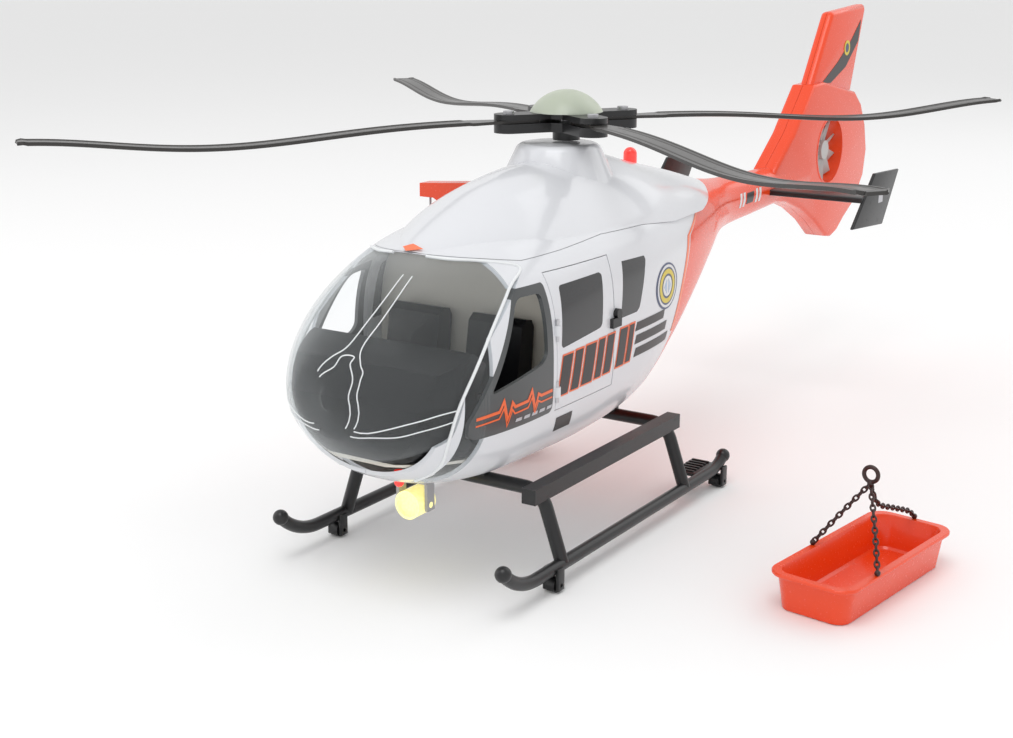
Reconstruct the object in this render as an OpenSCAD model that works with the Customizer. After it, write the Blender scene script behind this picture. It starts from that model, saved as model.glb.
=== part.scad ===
// Toy rescue helicopter with a turning rotor, a winch and a floor-standing stretcher basket.
// Millimetres, +Z up, nose towards -Y, port side towards +X, resting on z = 0.

/* [Overall] */
// Rotor radius, mast centre to blade tip
rotor_r = 290; // [250:5:330]
// Half of the cabin's width
pod_half_w = 60; // [52:1:70]
// Distance from the mast to the rear edge of the tail
tail_reach = 442; // [430:2:460]
// Wall of the moulded shells
wall = 2; // [1.4:0.1:2.6]
// Gap between neighbouring shells
seam = 0.3; // [0.2:0.05:0.5]
// Gap around parts that move
gap = 0.4; // [0.3:0.05:0.6]
// Radial clearance of shafts in their holes
run_fit = 0.05; // [0.03:0.01:0.09]

/* [Rotor] */
// Height of the blade tips above the ground
tip_z = 219; // [216:0.5:224]
// Turn of the first blade from the port direction
blade_turn = -34.8; // [-44:0.2:-20]
// Blade width
blade_chord = 15; // [12:0.5:18]
// Blade thickness
blade_t = 2; // [1.6:0.1:2.6]
// How far the blades sag at mid span
blade_sag = 7; // [2:0.5:10]
// Reach of the hub's arms
arm_reach = 41; // [38:1:46]
// Mast radius
mast_r = 3; // [2.5:0.1:3.6]
// Radius of the clear cap on the hub
cap_r = 20; // [16:0.5:22]
// Radius of the blade screws
blade_screw_r = 1.5; // [1.2:0.1:2]

/* [Drive] */
// Teeth of the mast gear
gear_teeth = 48; // [40:2:48]
// Teeth of the motor pinion
pinion_teeth = 12; // [10:1:14]
// Gear module
gear_mod = 0.8; // [0.7:0.05:0.85]
// Motor can radius
motor_r = 10; // [8:0.5:11]
// Motor shaft radius
motor_shaft_r = 1; // [0.8:0.1:1.5]

/* [Skids] */
// Half of the distance between the skid tubes
skid_half = 68.8; // [64:0.2:74]
// Skid tube radius
skid_r = 3.4; // [2.8:0.1:4]
// Height of the skid tube centre
skid_z = 12; // [11:0.2:14]
// Radius of the ball at each skid end
ball_r = 4.1; // [3.8:0.1:5]
// Cross tube radius
cross_r = 3.6; // [3:0.1:4]
// Height of the cross tubes under the belly
cross_z = 48.2; // [46:0.2:48.4]
// Side of the square step rail
rail_w = 8; // [6:0.5:9]
// Roller radius
roller_r = 4; // [3.6:0.1:4.4]
// Roller width
roller_w = 5; // [4:0.25:6]
// Roller axle radius
axle_r = 1; // [0.8:0.05:1.2]

/* [Tail] */
// Radius of the fan duct
duct_r = 24; // [20:0.5:26]
// Thickness of the tail around the duct
shroud_t = 18; // [14:1:22]
// Half span of the stabiliser, to the middle of the endplates
stab_half = 78; // [70:1:86]
// Fan shaft radius
fan_shaft_r = 1.5; // [1.2:0.1:2]

/* [Winch] */
// Cord radius
cord_r = 0.6; // [0.5:0.05:0.9]
// Radius of the winch drum
drum_r = 6; // [5:0.25:7]
// Winch shaft radius
winch_shaft_r = 2.5; // [2:0.1:3]
// Sideways reach of the hoist arm from the middle of the body
hoist_reach = 69; // [68:0.5:72]

/* [Stretcher] */
// Length of the basket at the rim
basket_l = 112; // [100:2:120]
// Width of the basket at the rim
basket_w = 46; // [40:1:50]
// Height of the basket
basket_h = 20; // [16:1:24]
// Wall of the basket
basket_wall = 1.8; // [1.4:0.1:2.4]

/* [Hidden] */

fine = 64;
// Points around a body section, and sections along a body
ring_n = 36;
big = 400;

// The rotor stands forward of the middle of the whole outline, so the frame's origin is under
// the centre of the bounding box and the mast is mast_y ahead of it.
rotor_reach = rotor_r * cos(blade_turn) - blade_chord / 2 * sin(blade_turn);
mast_y = -round((tail_reach - rotor_reach) / 2);

// Fuselage sections: [distance behind the mast, width ratio, bottom, widest height, top,
// roundness above, roundness below]
FUSELAGE = [
    [-208, 0.07, 104, 109, 115, 2, 2],
    [-203, 0.42, 88, 108, 129, 2, 2],
    [-190, 0.68, 72, 106, 143, 2.1, 2.1],
    [-168, 0.88, 59, 104, 157, 2.3, 2.3],
    [-138, 0.98, 53, 104, 168, 2.6, 2.5],
    [-100, 1, 52, 106, 174, 3.2, 2.7],
    [-50, 1, 52, 108, 176, 3.6, 2.8],
    [0, 0.97, 57, 114, 177, 3.4, 2.8],
    [40, 0.88, 72, 124, 177, 3, 2.6],
    [80, 0.75, 92, 134, 175, 2.6, 2.4],
    [120, 0.57, 111, 141, 171, 2.3, 2.2],
    [152, 0.4, 122, 146, 167, 2.1, 2.1],
    [185, 0.27, 129, 147, 163, 2, 2],
    [240, 0.21, 132, 147, 161, 2, 2],
    [330, 0.16, 136, 148, 160, 2, 2],
];
// Engine cowl sections, in the same columns
COWL = [
    [-146, 0.17, 150, 155, 166, 2, 2],
    [-130, 0.43, 150, 155, 174, 1.9, 2],
    [-105, 0.67, 150, 155, 184, 1.8, 2],
    [-80, 0.8, 150, 155, 192, 1.7, 2],
    [-40, 0.84, 150, 155, 198, 1.7, 2],
    [20, 0.83, 150, 155, 198, 1.8, 2],
    [60, 0.77, 150, 155, 189, 1.8, 2],
    [100, 0.67, 150, 155, 180, 2, 2],
    [150, 0.4, 146, 150, 168, 2, 2],
];
// Side outlines, as [distance behind the mast, height]
CANOPY_EDGE = [
    [-260, 30], [-168, 30], [-173, 70], [-177, 90], [-172, 109], [-153, 133], [-130, 152],
    [-116, 160], [-130, 164.2], [-142, 165.8], [-147.6, 168.6], [-147.6, 190], [-260, 190],
];
COWL_EDGE = [
    [-147, 169], [-142, 166.5], [-130, 165], [-113, 162.5], [-84, 163.5], [-45, 165.5],
    [0, 164], [40, 160], [85, 159.5], [120, 166], [152, 168.5], [152, 230], [-147, 230],
];
TAILGATE_EDGE = [
    [150, 169], [120, 166], [87, 159.5], [60, 149], [43, 121], [31, 100], [8, 80], [-14, 50],
    [340, 50], [340, 175], [150, 175],
];
DOOR_PANEL_EDGE = [
    [-110, 152.5], [-109, 151], [-109, 90], [-111, 88], [-165, 87], [-169, 89], [-170, 96],
    [-131.5, 149.5], [-127, 152],
];
DOOR_PANEL_WINDOW = [
    [-113, 148], [-114, 118], [-118, 114.5], [-157, 107.5], [-132, 145], [-128, 148],
];
DOOR_WINDOW_EDGE = [
    [-98, 149], [-61, 149.5], [-59, 148], [-62, 123], [-64, 121.5], [-100, 118.5], [-101.5, 120],
];
REAR_WINDOW_EDGE = [
    [-37, 151], [-12, 150], [-11, 148], [-21, 124], [-24, 122], [-41, 122], [-42, 124],
];
SHROUD_EDGE = [
    [262, 150], [268, 160], [298, 182], [329, 213], [350, 214], [411, 203], [425, 193],
    [436, 176], [tail_reach, 156], [438, 136], [421, 117], [401, 107], [388, 99], [377, 96],
    [366, 98], [345, 112], [318, 125], [290, 134], [262, 138],
];
FIN_EDGE = [[329, 212], [368, 263], [430, 267], [433, 264], [411, 202], [380, 196]];

// A row of a section table at any distance y, on a smooth curve through the rows
function row_at(t, y) =
    let (n = len(t), i = max([for (k = [0:n - 2]) if (k == 0 || t[k][0] <= y) k]),
         a = t[max(i - 1, 0)], b = t[i], c = t[i + 1], d = t[min(i + 2, n - 1)],
         h = c[0] - b[0], s = (y - b[0]) / h,
         mb = (c - a) * (h / (c[0] - a[0])), mc = (d - b) * (h / (d[0] - b[0])))
    b * (2 * s ^ 3 - 3 * s ^ 2 + 1) + mb * (s ^ 3 - 2 * s ^ 2 + s)
        + c * (3 * s ^ 2 - 2 * s ^ 3) + mc * (s ^ 3 - s ^ 2);

function signed_pow(v, e) = sign(v) * abs(v) ^ e;

// Closed ring of points of one section, moved inwards by inset
function section(t, y, inset) =
    let (r = row_at(t, y), a = r[1] * pod_half_w - inset)
    [for (k = [0:ring_n - 1])
        let (w = 360 * k / ring_n, c = cos(w), s = sin(w), e = 2 / (s < 0 ? r[6] : r[5]),
             b = s < 0 ? r[3] - r[2] - inset : r[4] - r[3] - inset)
        [a * signed_pow(c, e), y, r[3] + b * signed_pow(s, e)]];

// Middle of a section, where the end caps meet
function section_middle(t, y) = let (r = row_at(t, y)) [0, y, r[3]];

// Solid lofted through a section table between y0 and y1, with stations closer at the front
module loft(t, y0, y1, stations, inset = 0) {
    ys = [for (i = [0:stations - 1]) y0 + (y1 - y0) * (i / (stations - 1)) ^ 1.5];
    rings = [for (y = ys) each section(t, y, inset)];
    last = (stations - 1) * ring_n;
    front = stations * ring_n;
    ring = [for (k = [0:ring_n - 1]) [k, (k + 1) % ring_n]];
    polyhedron(
        concat(rings, [section_middle(t, y0), section_middle(t, y1)]),
        concat(
            [for (e = ring) [front, e[1], e[0]]],
            [for (e = ring) [front + 1, last + e[0], last + e[1]]],
            [for (i = [0:stations - 2], e = ring)
                let (p = i * ring_n + e[0], q = i * ring_n + e[1]) each
                [[p, q, p + ring_n], [q, q + ring_n, p + ring_n]]]
        )
    );
}

// Places the aircraft, drawn about its mast, in the shared frame
module craft() {
    translate([0, mast_y, 0]) children();
}

// Draws a port piece, or its mirror image on the starboard side
module handed(starboard) {
    if (starboard) mirror([1, 0, 0]) children();
    else children();
}

// Side outline pushed through the body from x0 to x1
module side(edge, x0, x1) {
    rotate([90, 0, 90]) translate([0, 0, x0]) linear_extrude(x1 - x0) polygon(edge);
}

// Hollow skin of a body between y0 and y1
module skin(t, y0, y1, stations) {
    difference() {
        loft(t, y0, y1, stations);
        loft(t, y0 - 1, y1 + 1, stations, wall);
    }
}

// Cylinder along X, centred on [y, z], from x0 to x1
module xrod(r, y, z, x0, x1) {
    translate([x0, y, z]) rotate([0, 90, 0]) cylinder(h = x1 - x0, r = r, $fn = fine);
}

// Box between two corners
module box(a, b) {
    translate(a) cube(b - a);
}

// Cabin doors: a hinge line at the front edge, on the widest line of the body
door_y = [-105.5, -50];
door_z = [88, 156];
knuckle_r = 1.9;
hinge_pin_r = 1;
press_gap = 0.02;
// Heights of the door's hinge knuckles, and length of each
knuckle_z = [95, 126];
knuckle_h = 5;
hinge_x = pod_half_w - 0.2;

module hinge_rods(r, z_from, h) {
    for (z = knuckle_z)
        translate([hinge_x, door_y[0], z + z_from]) cylinder(h = h, r = r, $fn = fine);
}

// The shell's two knuckles, one on each side of each door knuckle
module frame_knuckles(r, spare) {
    hinge_rods(r, -3.5 - spare, 3.5 - seam + 2 * spare);
    hinge_rods(r, knuckle_h + seam - spare, 3.5 - seam + 2 * spare);
}

battery_bay = [[-23, -77, 40], [23, -17, 60]];
switch_at = [12, -93];
button_at = [14, 129];
button_r = 5;
winch_at = [2, 125];
screw_y = [-28, 30];
screw_z = 112;

// Cabin pod between its stations, solid or as a skin
module pod(inset = 0) {
    loft(FUSELAGE, -182, 155, 16, inset);
}

module pod_skin() {
    skin(FUSELAGE, -182, 155, 16);
}

// Port half of the cabin shell, with what both halves share
module half_shell() {
    difference() {
        union() {
            difference() {
                pod_skin();
                side(CANOPY_EDGE, -big, big);
                side(COWL_EDGE, -big, big);
                side(TAILGATE_EDGE, -big, big);
                side(DOOR_PANEL_EDGE, pod_half_w / 2, big);
                side(REAR_WINDOW_EDGE, pod_half_w / 2, big);
                box([pod_half_w / 2, door_y[0] - gap, door_z[0] - gap],
                    [big, door_y[1] + 2 * gap, door_z[1] + gap]);
                hinge_rods(knuckle_r + gap, -seam, knuckle_h + 2 * seam);
            }
            frame_knuckles(knuckle_r, 0);
            intersection() {
                for (y = screw_y) xrod(3, y, screw_z, 6, pod_half_w);
                loft(FUSELAGE, screw_y[0] - 5, screw_y[1] + 5, 4, wall / 2);
            }
        }
        box([-big, -big, 0], [seam / 2, big, big]);
        hinge_rods(hinge_pin_r + press_gap, -4, knuckle_h + 8);
        box(battery_bay[0], battery_bay[1]);
        translate([0, -156, 0]) cylinder(h = 70, r = 2.6, $fn = fine);
        for (y = screw_y) xrod(1.2, y, screw_z, 0, pod_half_w - 8 * wall);
    }
}

module port_shell() {
    color("white") craft() difference() {
        half_shell();
        box([switch_at[0] - 2 - gap, switch_at[1] - 2 - gap, 40],
            [switch_at[0] + 2 + gap, switch_at[1] + 5 + gap, 60]);
    }
}

module starboard_shell() {
    color("white") craft() difference() {
        union() {
            handed(true) half_shell();
            xrod(winch_shaft_r + 2.5, winch_at[0], winch_at[1], -pod_half_w * 0.945, -49);
        }
        xrod(button_r + gap, button_at[0], button_at[1], -big / 2, -pod_half_w / 2);
        xrod(winch_shaft_r + run_fit, winch_at[0], winch_at[1], -big / 2, -pod_half_w / 2);
    }
}

cowl_top = 206;
// Upper cover: engine cowl, mast fairing and the upper bearing
module roof_cowl() {
    color("white") craft() difference() {
        union() {
            intersection() {
                difference() {
                    union() {
                        loft(COWL, -146, 150, 14);
                        loft(FUSELAGE, -150, 152, 10);
                        translate([0, -8, 160])
                            cylinder(h = cowl_top - 160, r1 = 46, r2 = 24, $fn = fine);
                    }
                    loft(COWL, -140, 148, 12, wall);
                    translate([0, -8, 160 - wall])
                        cylinder(h = cowl_top - 160, r1 = 46 - wall, r2 = 24 - wall, $fn = fine);
                }
                side(COWL_EDGE, -big, big);
            }
            translate([0, 0, cowl_top - 16]) cylinder(h = 16, r = mast_r + 5, $fn = fine);
        }
        translate([0, 0, 150]) cylinder(h = 100, r = mast_r + run_fit, $fn = fine);
        translate([0, 73, 180]) cylinder(h = 20, r = 4.2, $fn = fine);
    }
}

module canopy() {
    color("lightcyan", 0.4) craft() intersection() {
        difference() {
            loft(FUSELAGE, -208, -110, 10);
            loft(FUSELAGE, -204.5, -109, 9, wall);
        }
        side(CANOPY_EDGE, -big, big);
    }
}

DASH_EDGE = [
    [-188, 76], [-190, 104], [-180, 120], [-160, 127], [-150, 120], [-157, 106], [-150, 76],
];
module dashboard() {
    color("dimgray") craft() intersection() {
        side(DASH_EDGE, -48, 48);
        loft(FUSELAGE, -196, -148, 6, wall + 1);
    }
}

// Seat outline from the side, on the cabin floor
SEAT_EDGE = [
    [-138, 75.3], [-138, 90], [-134, 94], [-114, 92], [-108, 128], [-104, 131], [-99, 130],
    [-97, 126], [-102, 75.3],
];
module seats() {
    color("dimgray") craft() for (x = [-25, 25]) side(SEAT_EDGE, x - 16, x + 16);
}

module cabin_floor() {
    color("whitesmoke") craft() intersection() {
        box([-60, -186, 73.2], [60, 30, 75.2]);
        loft(FUSELAGE, -188, 32, 9, wall + seam);
    }
}

module cabin_wall() {
    color("ivory") craft() intersection() {
        box([-60, -94, 75.2], [60, -92, 162]);
        loft(FUSELAGE, -95, -91, 2, wall + seam);
    }
}

module front_door_panels() {
    color("dimgray") craft() for (s = [false, true]) handed(s) difference() {
        intersection() {
            skin(FUSELAGE, -172, -107, 5);
            side(DOOR_PANEL_EDGE, pod_half_w / 2, big);
        }
        side(DOOR_PANEL_WINDOW, pod_half_w / 2, big);
    }
}

module rear_windows() {
    color("black") craft() for (s = [false, true]) handed(s) intersection() {
        skin(FUSELAGE, -44, -9, 3);
        side(REAR_WINDOW_EDGE, pod_half_w / 2, big);
    }
}

// Studs that pull the two shells together at their middle bosses
module case_screws() {
    color("silver") craft() for (y = screw_y) {
        xrod(1.1, y, screw_z, -20, 20);
        xrod(2.2, y, screw_z, -4, 4);
    }
}

module cabin_door() {
    difference() {
        union() {
            difference() {
                intersection() {
                    skin(FUSELAGE, -108, -48, 5);
                    box([pod_half_w / 2, door_y[0], door_z[0]], [big, door_y[1], door_z[1]]);
                }
                side(DOOR_WINDOW_EDGE, pod_half_w / 2, big);
                frame_knuckles(knuckle_r + gap, seam);
            }
            hinge_rods(knuckle_r, 0, knuckle_h);
        }
        hinge_rods(hinge_pin_r + run_fit, -4, knuckle_h + 8);
    }
}

module door_window() {
    intersection() {
        skin(FUSELAGE, -108, -48, 5);
        side(DOOR_WINDOW_EDGE, pod_half_w / 2, big);
    }
}

// Turn latch that reaches over the edge of the doorway
module door_latch() {
    difference() {
        union() {
            box([pod_half_w - 3, door_y[1] - 4, 119], [pod_half_w + 2, door_y[1] + 5, 124]);
            xrod(2.6, door_y[1] + 2, 126, pod_half_w - 3, pod_half_w + 2.4);
        }
        loft(FUSELAGE, -56, door_y[1], 2, 0);
        loft(FUSELAGE, door_y[1], -40, 2, -gap);
    }
}

module port_cabin_door() {
    color("white") craft() cabin_door();
}

module starboard_cabin_door() {
    color("white") craft() handed(true) cabin_door();
}

module port_door_window() {
    color("black") craft() door_window();
}

module starboard_door_window() {
    color("black") craft() handed(true) door_window();
}

module port_door_latch() {
    color("black") craft() door_latch();
}

module starboard_door_latch() {
    color("black") craft() handed(true) door_latch();
}

module door_hinge_pins() {
    color("silver") craft() for (s = [false, true])
        handed(s) hinge_rods(hinge_pin_r, -3, knuckle_h + 6);
}

cell_r = 7.2;
cell_l = 50.5;
cell_z = 64;
module battery_case() {
    color("gainsboro") craft() difference() {
        intersection() {
            box([-24, -75.5, 56.3], [24, -19, 73]);
            pod(wall + seam);
        }
        box([-22.6, -74, 50], [22.6, -20.5, 71.6]);
    }
}

module battery_cells() {
    color("goldenrod") craft() for (k = [-1, 0, 1])
        translate([k * (2 * cell_r + 0.4), -73, cell_z]) rotate([-90, 0, 0]) {
            cylinder(h = cell_l - 1.5, r = cell_r, $fn = fine);
            cylinder(h = cell_l, r = 2.7, $fn = fine);
        }
}

module battery_door() {
    color("white") craft() difference() {
        intersection() {
            skin(FUSELAGE, -80, -14, 4);
            box(battery_bay[0] + [gap, gap, 0], battery_bay[1] - [gap, gap, 0]);
        }
        translate([0, -22, 40]) cylinder(h = 20, r = 1.3, $fn = fine);
    }
}

module power_switch() {
    color("black") craft() {
        box([switch_at[0] - 2, switch_at[1] - 2, 50.6], [switch_at[0] + 2, switch_at[1] + 2, 56]);
        box([switch_at[0] - 5, switch_at[1] - 6, 56], [switch_at[0] + 5, switch_at[1] + 6, 57.5]);
    }
}

module sound_button() {
    color("orangered") craft() {
        xrod(button_r, button_at[0], button_at[1], -pod_half_w * 0.975, -pod_half_w * 0.86);
        xrod(button_r + 1.6, button_at[0], button_at[1], -pod_half_w * 0.86, -pod_half_w * 0.86 + 1.5);
    }
}

module circuit_board() {
    color("green") craft() box([-22, -91.8, 100], [22, -90.2, 132]);
}

module speaker() {
    color("dimgray") craft() translate([0, 2, 75.4]) {
        cylinder(h = 3, r = 14, $fn = fine);
        translate([0, 0, 3]) cylinder(h = 5, r1 = 13, r2 = 7, $fn = fine);
    }
}

// Drive: a motor under the deck turns the mast through a pinion and a gear
deck_z = [150, 153];
gear_z = 154;
gear_h = 4;
motor_y = (gear_teeth + pinion_teeth) * gear_mod / 2;

// Spur gear with a tooth on the +X axis; slim teeth leave backlash
module spur(teeth, bore, h) {
    pitch = teeth * gear_mod / 2;
    root = pitch - 1.15 * gear_mod;
    tip = pitch + 0.8 * gear_mod;
    half = 90 / teeth;
    linear_extrude(h) difference() {
        polygon([for (k = [0:teeth - 1]) let (w = 360 * k / teeth) each [
            root * [cos(w - half * 1.25), sin(w - half * 1.25)],
            pitch * [cos(w - half * 0.72), sin(w - half * 0.72)],
            tip * [cos(w - half * 0.3), sin(w - half * 0.3)],
            tip * [cos(w + half * 0.3), sin(w + half * 0.3)],
            pitch * [cos(w + half * 0.72), sin(w + half * 0.72)],
            root * [cos(w + half * 1.25), sin(w + half * 1.25)],
        ]]);
        circle(bore, $fn = fine);
    }
}

module motor() {
    color("silver") craft() translate([0, motor_y, deck_z[0] - 28]) difference() {
        union() {
            cylinder(h = 28, r = motor_r, $fn = fine);
            translate([0, 0, -2]) cylinder(h = 2, r = 3.5, $fn = fine);
        }
        translate([0, 0, 20]) cylinder(h = 10, r = motor_shaft_r + run_fit, $fn = fine);
    }
}

module motor_pinion() {
    color("gold") craft() translate([0, motor_y, 0]) {
        translate([0, 0, deck_z[0] - 7]) cylinder(h = gear_z + gear_h + 1 - deck_z[0] + 7, r = motor_shaft_r, $fn = fine);
        translate([0, 0, gear_z]) rotate(270 + 180 / pinion_teeth) spur(pinion_teeth, motor_shaft_r / 2, gear_h);
    }
}

module transmission_deck() {
    color("gainsboro") craft() difference() {
        union() {
            intersection() {
                box([-60, -45, deck_z[0]], [60, 60, deck_z[1]]);
                loft(FUSELAGE, -46, 61, 5, wall + seam);
            }
            translate([0, 0, deck_z[0] - 6]) cylinder(h = 6, r = mast_r + 3, $fn = fine);
        }
        translate([0, 0, 100]) cylinder(h = 100, r = mast_r + run_fit, $fn = fine);
        translate([0, motor_y, 100]) cylinder(h = 100, r = motor_shaft_r + gap, $fn = fine);
    }
}

// Rotor: each blade is clamped by a screw between two hub plates
root_z = tip_z - 1;
cap_h = 12;
hub_bottom = cowl_top + 0.8;
plate_t = 3;
arm_w = 16;
screw_at = arm_reach - 7;

module mast() {
    color("silver") craft() translate([0, 0, deck_z[0] - 6])
        cylinder(h = root_z + blade_t / 2 + plate_t - deck_z[0] + 6, r = mast_r, $fn = fine);
}

module mast_gear() {
    color("white") craft() translate([0, 0, gear_z]) rotate(90) spur(gear_teeth, mast_r + press_gap, gear_h);
}

// Plate with one arm to each blade
module hub_plate(z0, h, hole_r) {
    difference() {
        translate([0, 0, z0]) union() {
            cylinder(h = h, r = 15, $fn = fine);
            for (k = [0:3]) rotate(blade_turn + 90 * k) {
                translate([0, -arm_w / 2, 0]) cube([screw_at, arm_w, h]);
                translate([screw_at, 0, 0]) cylinder(h = h, r = arm_w / 2, $fn = fine);
            }
        }
        translate([0, 0, z0 - 1]) cylinder(h = h + 2, r = mast_r + press_gap, $fn = fine);
        for (k = [0:3]) rotate(blade_turn + 90 * k)
            translate([screw_at, 0, z0 - 1]) cylinder(h = h + 2, r = hole_r, $fn = fine);
    }
}

module hub_lower() {
    color("black") craft() {
        hub_plate(root_z - blade_t / 2 - 5, 5, blade_screw_r + press_gap);
        difference() {
            translate([0, 0, hub_bottom])
                cylinder(h = root_z - blade_t / 2 - 5 - hub_bottom, r = 7.5, $fn = fine);
            translate([0, 0, hub_bottom - 1]) cylinder(h = 20, r = mast_r + press_gap, $fn = fine);
        }
    }
}

module hub_upper() {
    color("black") craft() hub_plate(root_z + blade_t / 2, plate_t, blade_screw_r + press_gap);
}

// Height of a blade's middle line at a distance along its free length, from 0 to 1
function sag_at(t) = root_z - blade_sag * sin(180 * t ^ 1.36) ^ 2;

module blade() {
    free = rotor_r - arm_reach;
    n = 24;
    line = concat([[18, root_z]], [for (k = [0:n]) [arm_reach + free * k / n, sag_at(k / n)]]);
    difference() {
        intersection() {
            rotate([90, 0, 0]) translate([0, 0, -blade_chord]) linear_extrude(2 * blade_chord)
                polygon(concat([for (p = line) p + [0, blade_t / 2]],
                    [for (k = [len(line) - 1:-1:0]) line[k] - [0, blade_t / 2]]));
            translate([0, 0, root_z - 20]) linear_extrude(40) union() {
                polygon([[18, -5], [arm_reach, -5], [arm_reach + 14, -blade_chord / 2],
                    [rotor_r - 4, -blade_chord / 2], [rotor_r, -blade_chord / 2 + 4],
                    [rotor_r, blade_chord / 2 - 4], [rotor_r - 4, blade_chord / 2],
                    [arm_reach + 14, blade_chord / 2], [arm_reach, 5], [18, 5]]);
            }
        }
        translate([screw_at, 0, root_z - 5]) cylinder(h = 10, r = blade_screw_r + press_gap, $fn = fine);
    }
}

module rotor_blades() {
    color("dimgray") craft() for (k = [0:3]) rotate(blade_turn + 90 * k) blade();
}

module blade_screws() {
    color("silver") craft() for (k = [0:3]) rotate(blade_turn + 90 * k) translate([screw_at, 0, 0]) {
        translate([0, 0, root_z - blade_t / 2 - 4.5])
            cylinder(h = 4.5 + blade_t + plate_t, r = blade_screw_r, $fn = fine);
        translate([0, 0, root_z + blade_t / 2 + plate_t]) cylinder(h = 1.6, r = 3, $fn = fine);
    }
}

module rotor_cap() {
    ball = (cap_r ^ 2 + cap_h ^ 2) / (2 * cap_h);
    base = root_z + blade_t / 2 + plate_t;
    color("honeydew", 0.6) craft() intersection() {
        translate([0, 0, base + cap_h - ball]) difference() {
            sphere(ball, $fn = 2 * fine);
            sphere(ball - 1.2, $fn = 2 * fine);
        }
        translate([0, 0, base]) cylinder(h = cap_h + 1, r = cap_r + 1, $fn = fine);
    }
}

// Tail: two halves that carry the boom, the fan duct and the fin
duct_at = [365, 163];
bar_y = [251, 270];
bar_z = [144, 148];

module tail_half() {
    difference() {
        union() {
            intersection() {
                skin(FUSELAGE, -16, 329, 12);
                side(TAILGATE_EDGE, 0, big);
            }
            side(SHROUD_EDGE, 0, shroud_t / 2);
            hull() {
                side(FIN_EDGE, 0, 1);
                side([for (p = FIN_EDGE) [p[0] + (p[0] < 375 ? 7 : -5), min(p[1], 262)]], 0, 5.5);
            }
        }
        box([-big, -big, 0], [seam / 2, big, big]);
        xrod(duct_r, duct_at[0], duct_at[1], -1, big);
        box([-1, bar_y[0] - press_gap, bar_z[0] - press_gap],
            [big, bar_y[1] + press_gap, bar_z[1] + press_gap]);
    }
}

module port_tail_half() {
    color("orangered") craft() tail_half();
}

module starboard_tail_half() {
    color("orangered") craft() handed(true) tail_half();
}

// Fixed vanes and the bearing of the fan, near the starboard side of the duct
module fan_stator() {
    color("lightgray") craft() difference() {
        union() {
            xrod(7, duct_at[0], duct_at[1], -7.5, -3.5);
            difference() {
                xrod(duct_r - press_gap, duct_at[0], duct_at[1], -7.5, -4.5);
                xrod(duct_r - 1.5, duct_at[0], duct_at[1], -8, -4);
            }
            for (k = [0:5]) translate([0, duct_at[0], duct_at[1]]) rotate([60 * k, 0, 0])
                box([-7.2, -0.8, 6.5], [-4.8, 0.8, duct_r - 1]);
        }
        xrod(fan_shaft_r + run_fit, duct_at[0], duct_at[1], -10, 0);
    }
}

module tail_fan() {
    color("gainsboro") craft() {
        xrod(fan_shaft_r, duct_at[0], duct_at[1], -8.5, 0);
        xrod(7, duct_at[0], duct_at[1], -3, 5);
        for (k = [0:9]) translate([0, duct_at[0], duct_at[1]]) rotate([36 * k, 0, 0])
            translate([1, 0, 0]) rotate([0, 0, 35]) box([-0.6, -3.5, 6], [0.6, 3.5, duct_r - 1]);
    }
}

PLATE_EDGE = [[271, 162], [317, 160], [290, 125], [234.5, 129]];
module stabiliser() {
    color("black") craft() {
        box([-stab_half, bar_y[0], bar_z[0]], [stab_half, bar_y[1], bar_z[1]]);
        for (x = [-stab_half, stab_half]) side(PLATE_EDGE, x - 1.25, x + 1.25);
    }
}

module beacon_lens() {
    color("red") craft() translate([0, 73, 0]) {
        translate([0, 0, 183]) cylinder(h = 8, r = 4, $fn = fine);
        translate([0, 0, 191]) sphere(4, $fn = fine);
    }
}

module nose_light() {
    color("red") craft() translate([0, -156, 0]) {
        translate([0, 0, 54]) cylinder(h = 6, r = 2.5, $fn = fine);
        translate([0, 0, 54]) sphere(2.5, $fn = fine);
    }
}

lamp_at = [-143, 40];
lamp_r = 7.5;
ear_x = lamp_r + gap;
module searchlight_bracket() {
    color("gainsboro") craft() difference() {
        union() {
            for (x = [-ear_x - 1.8, ear_x])
                box([x, lamp_at[0] - 3, lamp_at[1] - 3], [x + 1.8, lamp_at[0] + 3, 58]);
            box([-ear_x - 1.8, lamp_at[0] - 4, 51.4], [ear_x + 1.8, lamp_at[0] + 6, 58]);
        }
        xrod(1.5 + run_fit, lamp_at[0], lamp_at[1], -big, big);
        pod();
    }
}

module searchlight() {
    color("khaki") craft() {
        difference() {
            translate([0, lamp_at[0] - 7, lamp_at[1]]) rotate([-90, 0, 0])
                cylinder(h = 14, r = lamp_r, $fn = fine);
            translate([0, lamp_at[0] - 8, lamp_at[1]]) rotate([-90, 0, 0])
                cylinder(h = 3, r = lamp_r - 1.2, $fn = fine);
        }
        xrod(1.5, lamp_at[0], lamp_at[1], -ear_x - 1.8, ear_x + 1.8);
    }
}

// Landing gear: two cross tubes, two skids with rollers, two step rails
bend_r = 13;
leg_lean = 19;
leg_l = (cross_z - bend_r + bend_r * sin(leg_lean) - skid_z) / cos(leg_lean);
cross_half = skid_half - bend_r * cos(leg_lean) - leg_l * sin(leg_lean);
front_leg_y = -114;
rear_leg_y = 19;
front_roller_y = -122;
rear_roller_y = 63;
rail_x = cross_half + bend_r * 0.72;

// Tube that curves along a circle in the XY plane
module bend(r, turn, tube) {
    rotate_extrude(angle = turn, $fn = 2 * fine) translate([r, 0]) circle(tube, $fn = fine);
}

// Straight rod between two points
module rod(a, b, r) {
    d = b - a;
    translate(a) rotate([0, acos(d[2] / norm(d)), atan2(d[1], d[0])])
        cylinder(h = norm(d), r = r, $fn = fine);
}

// A bend in a tube is a ball this much larger than the tube
joint_r = 0.1;

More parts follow.
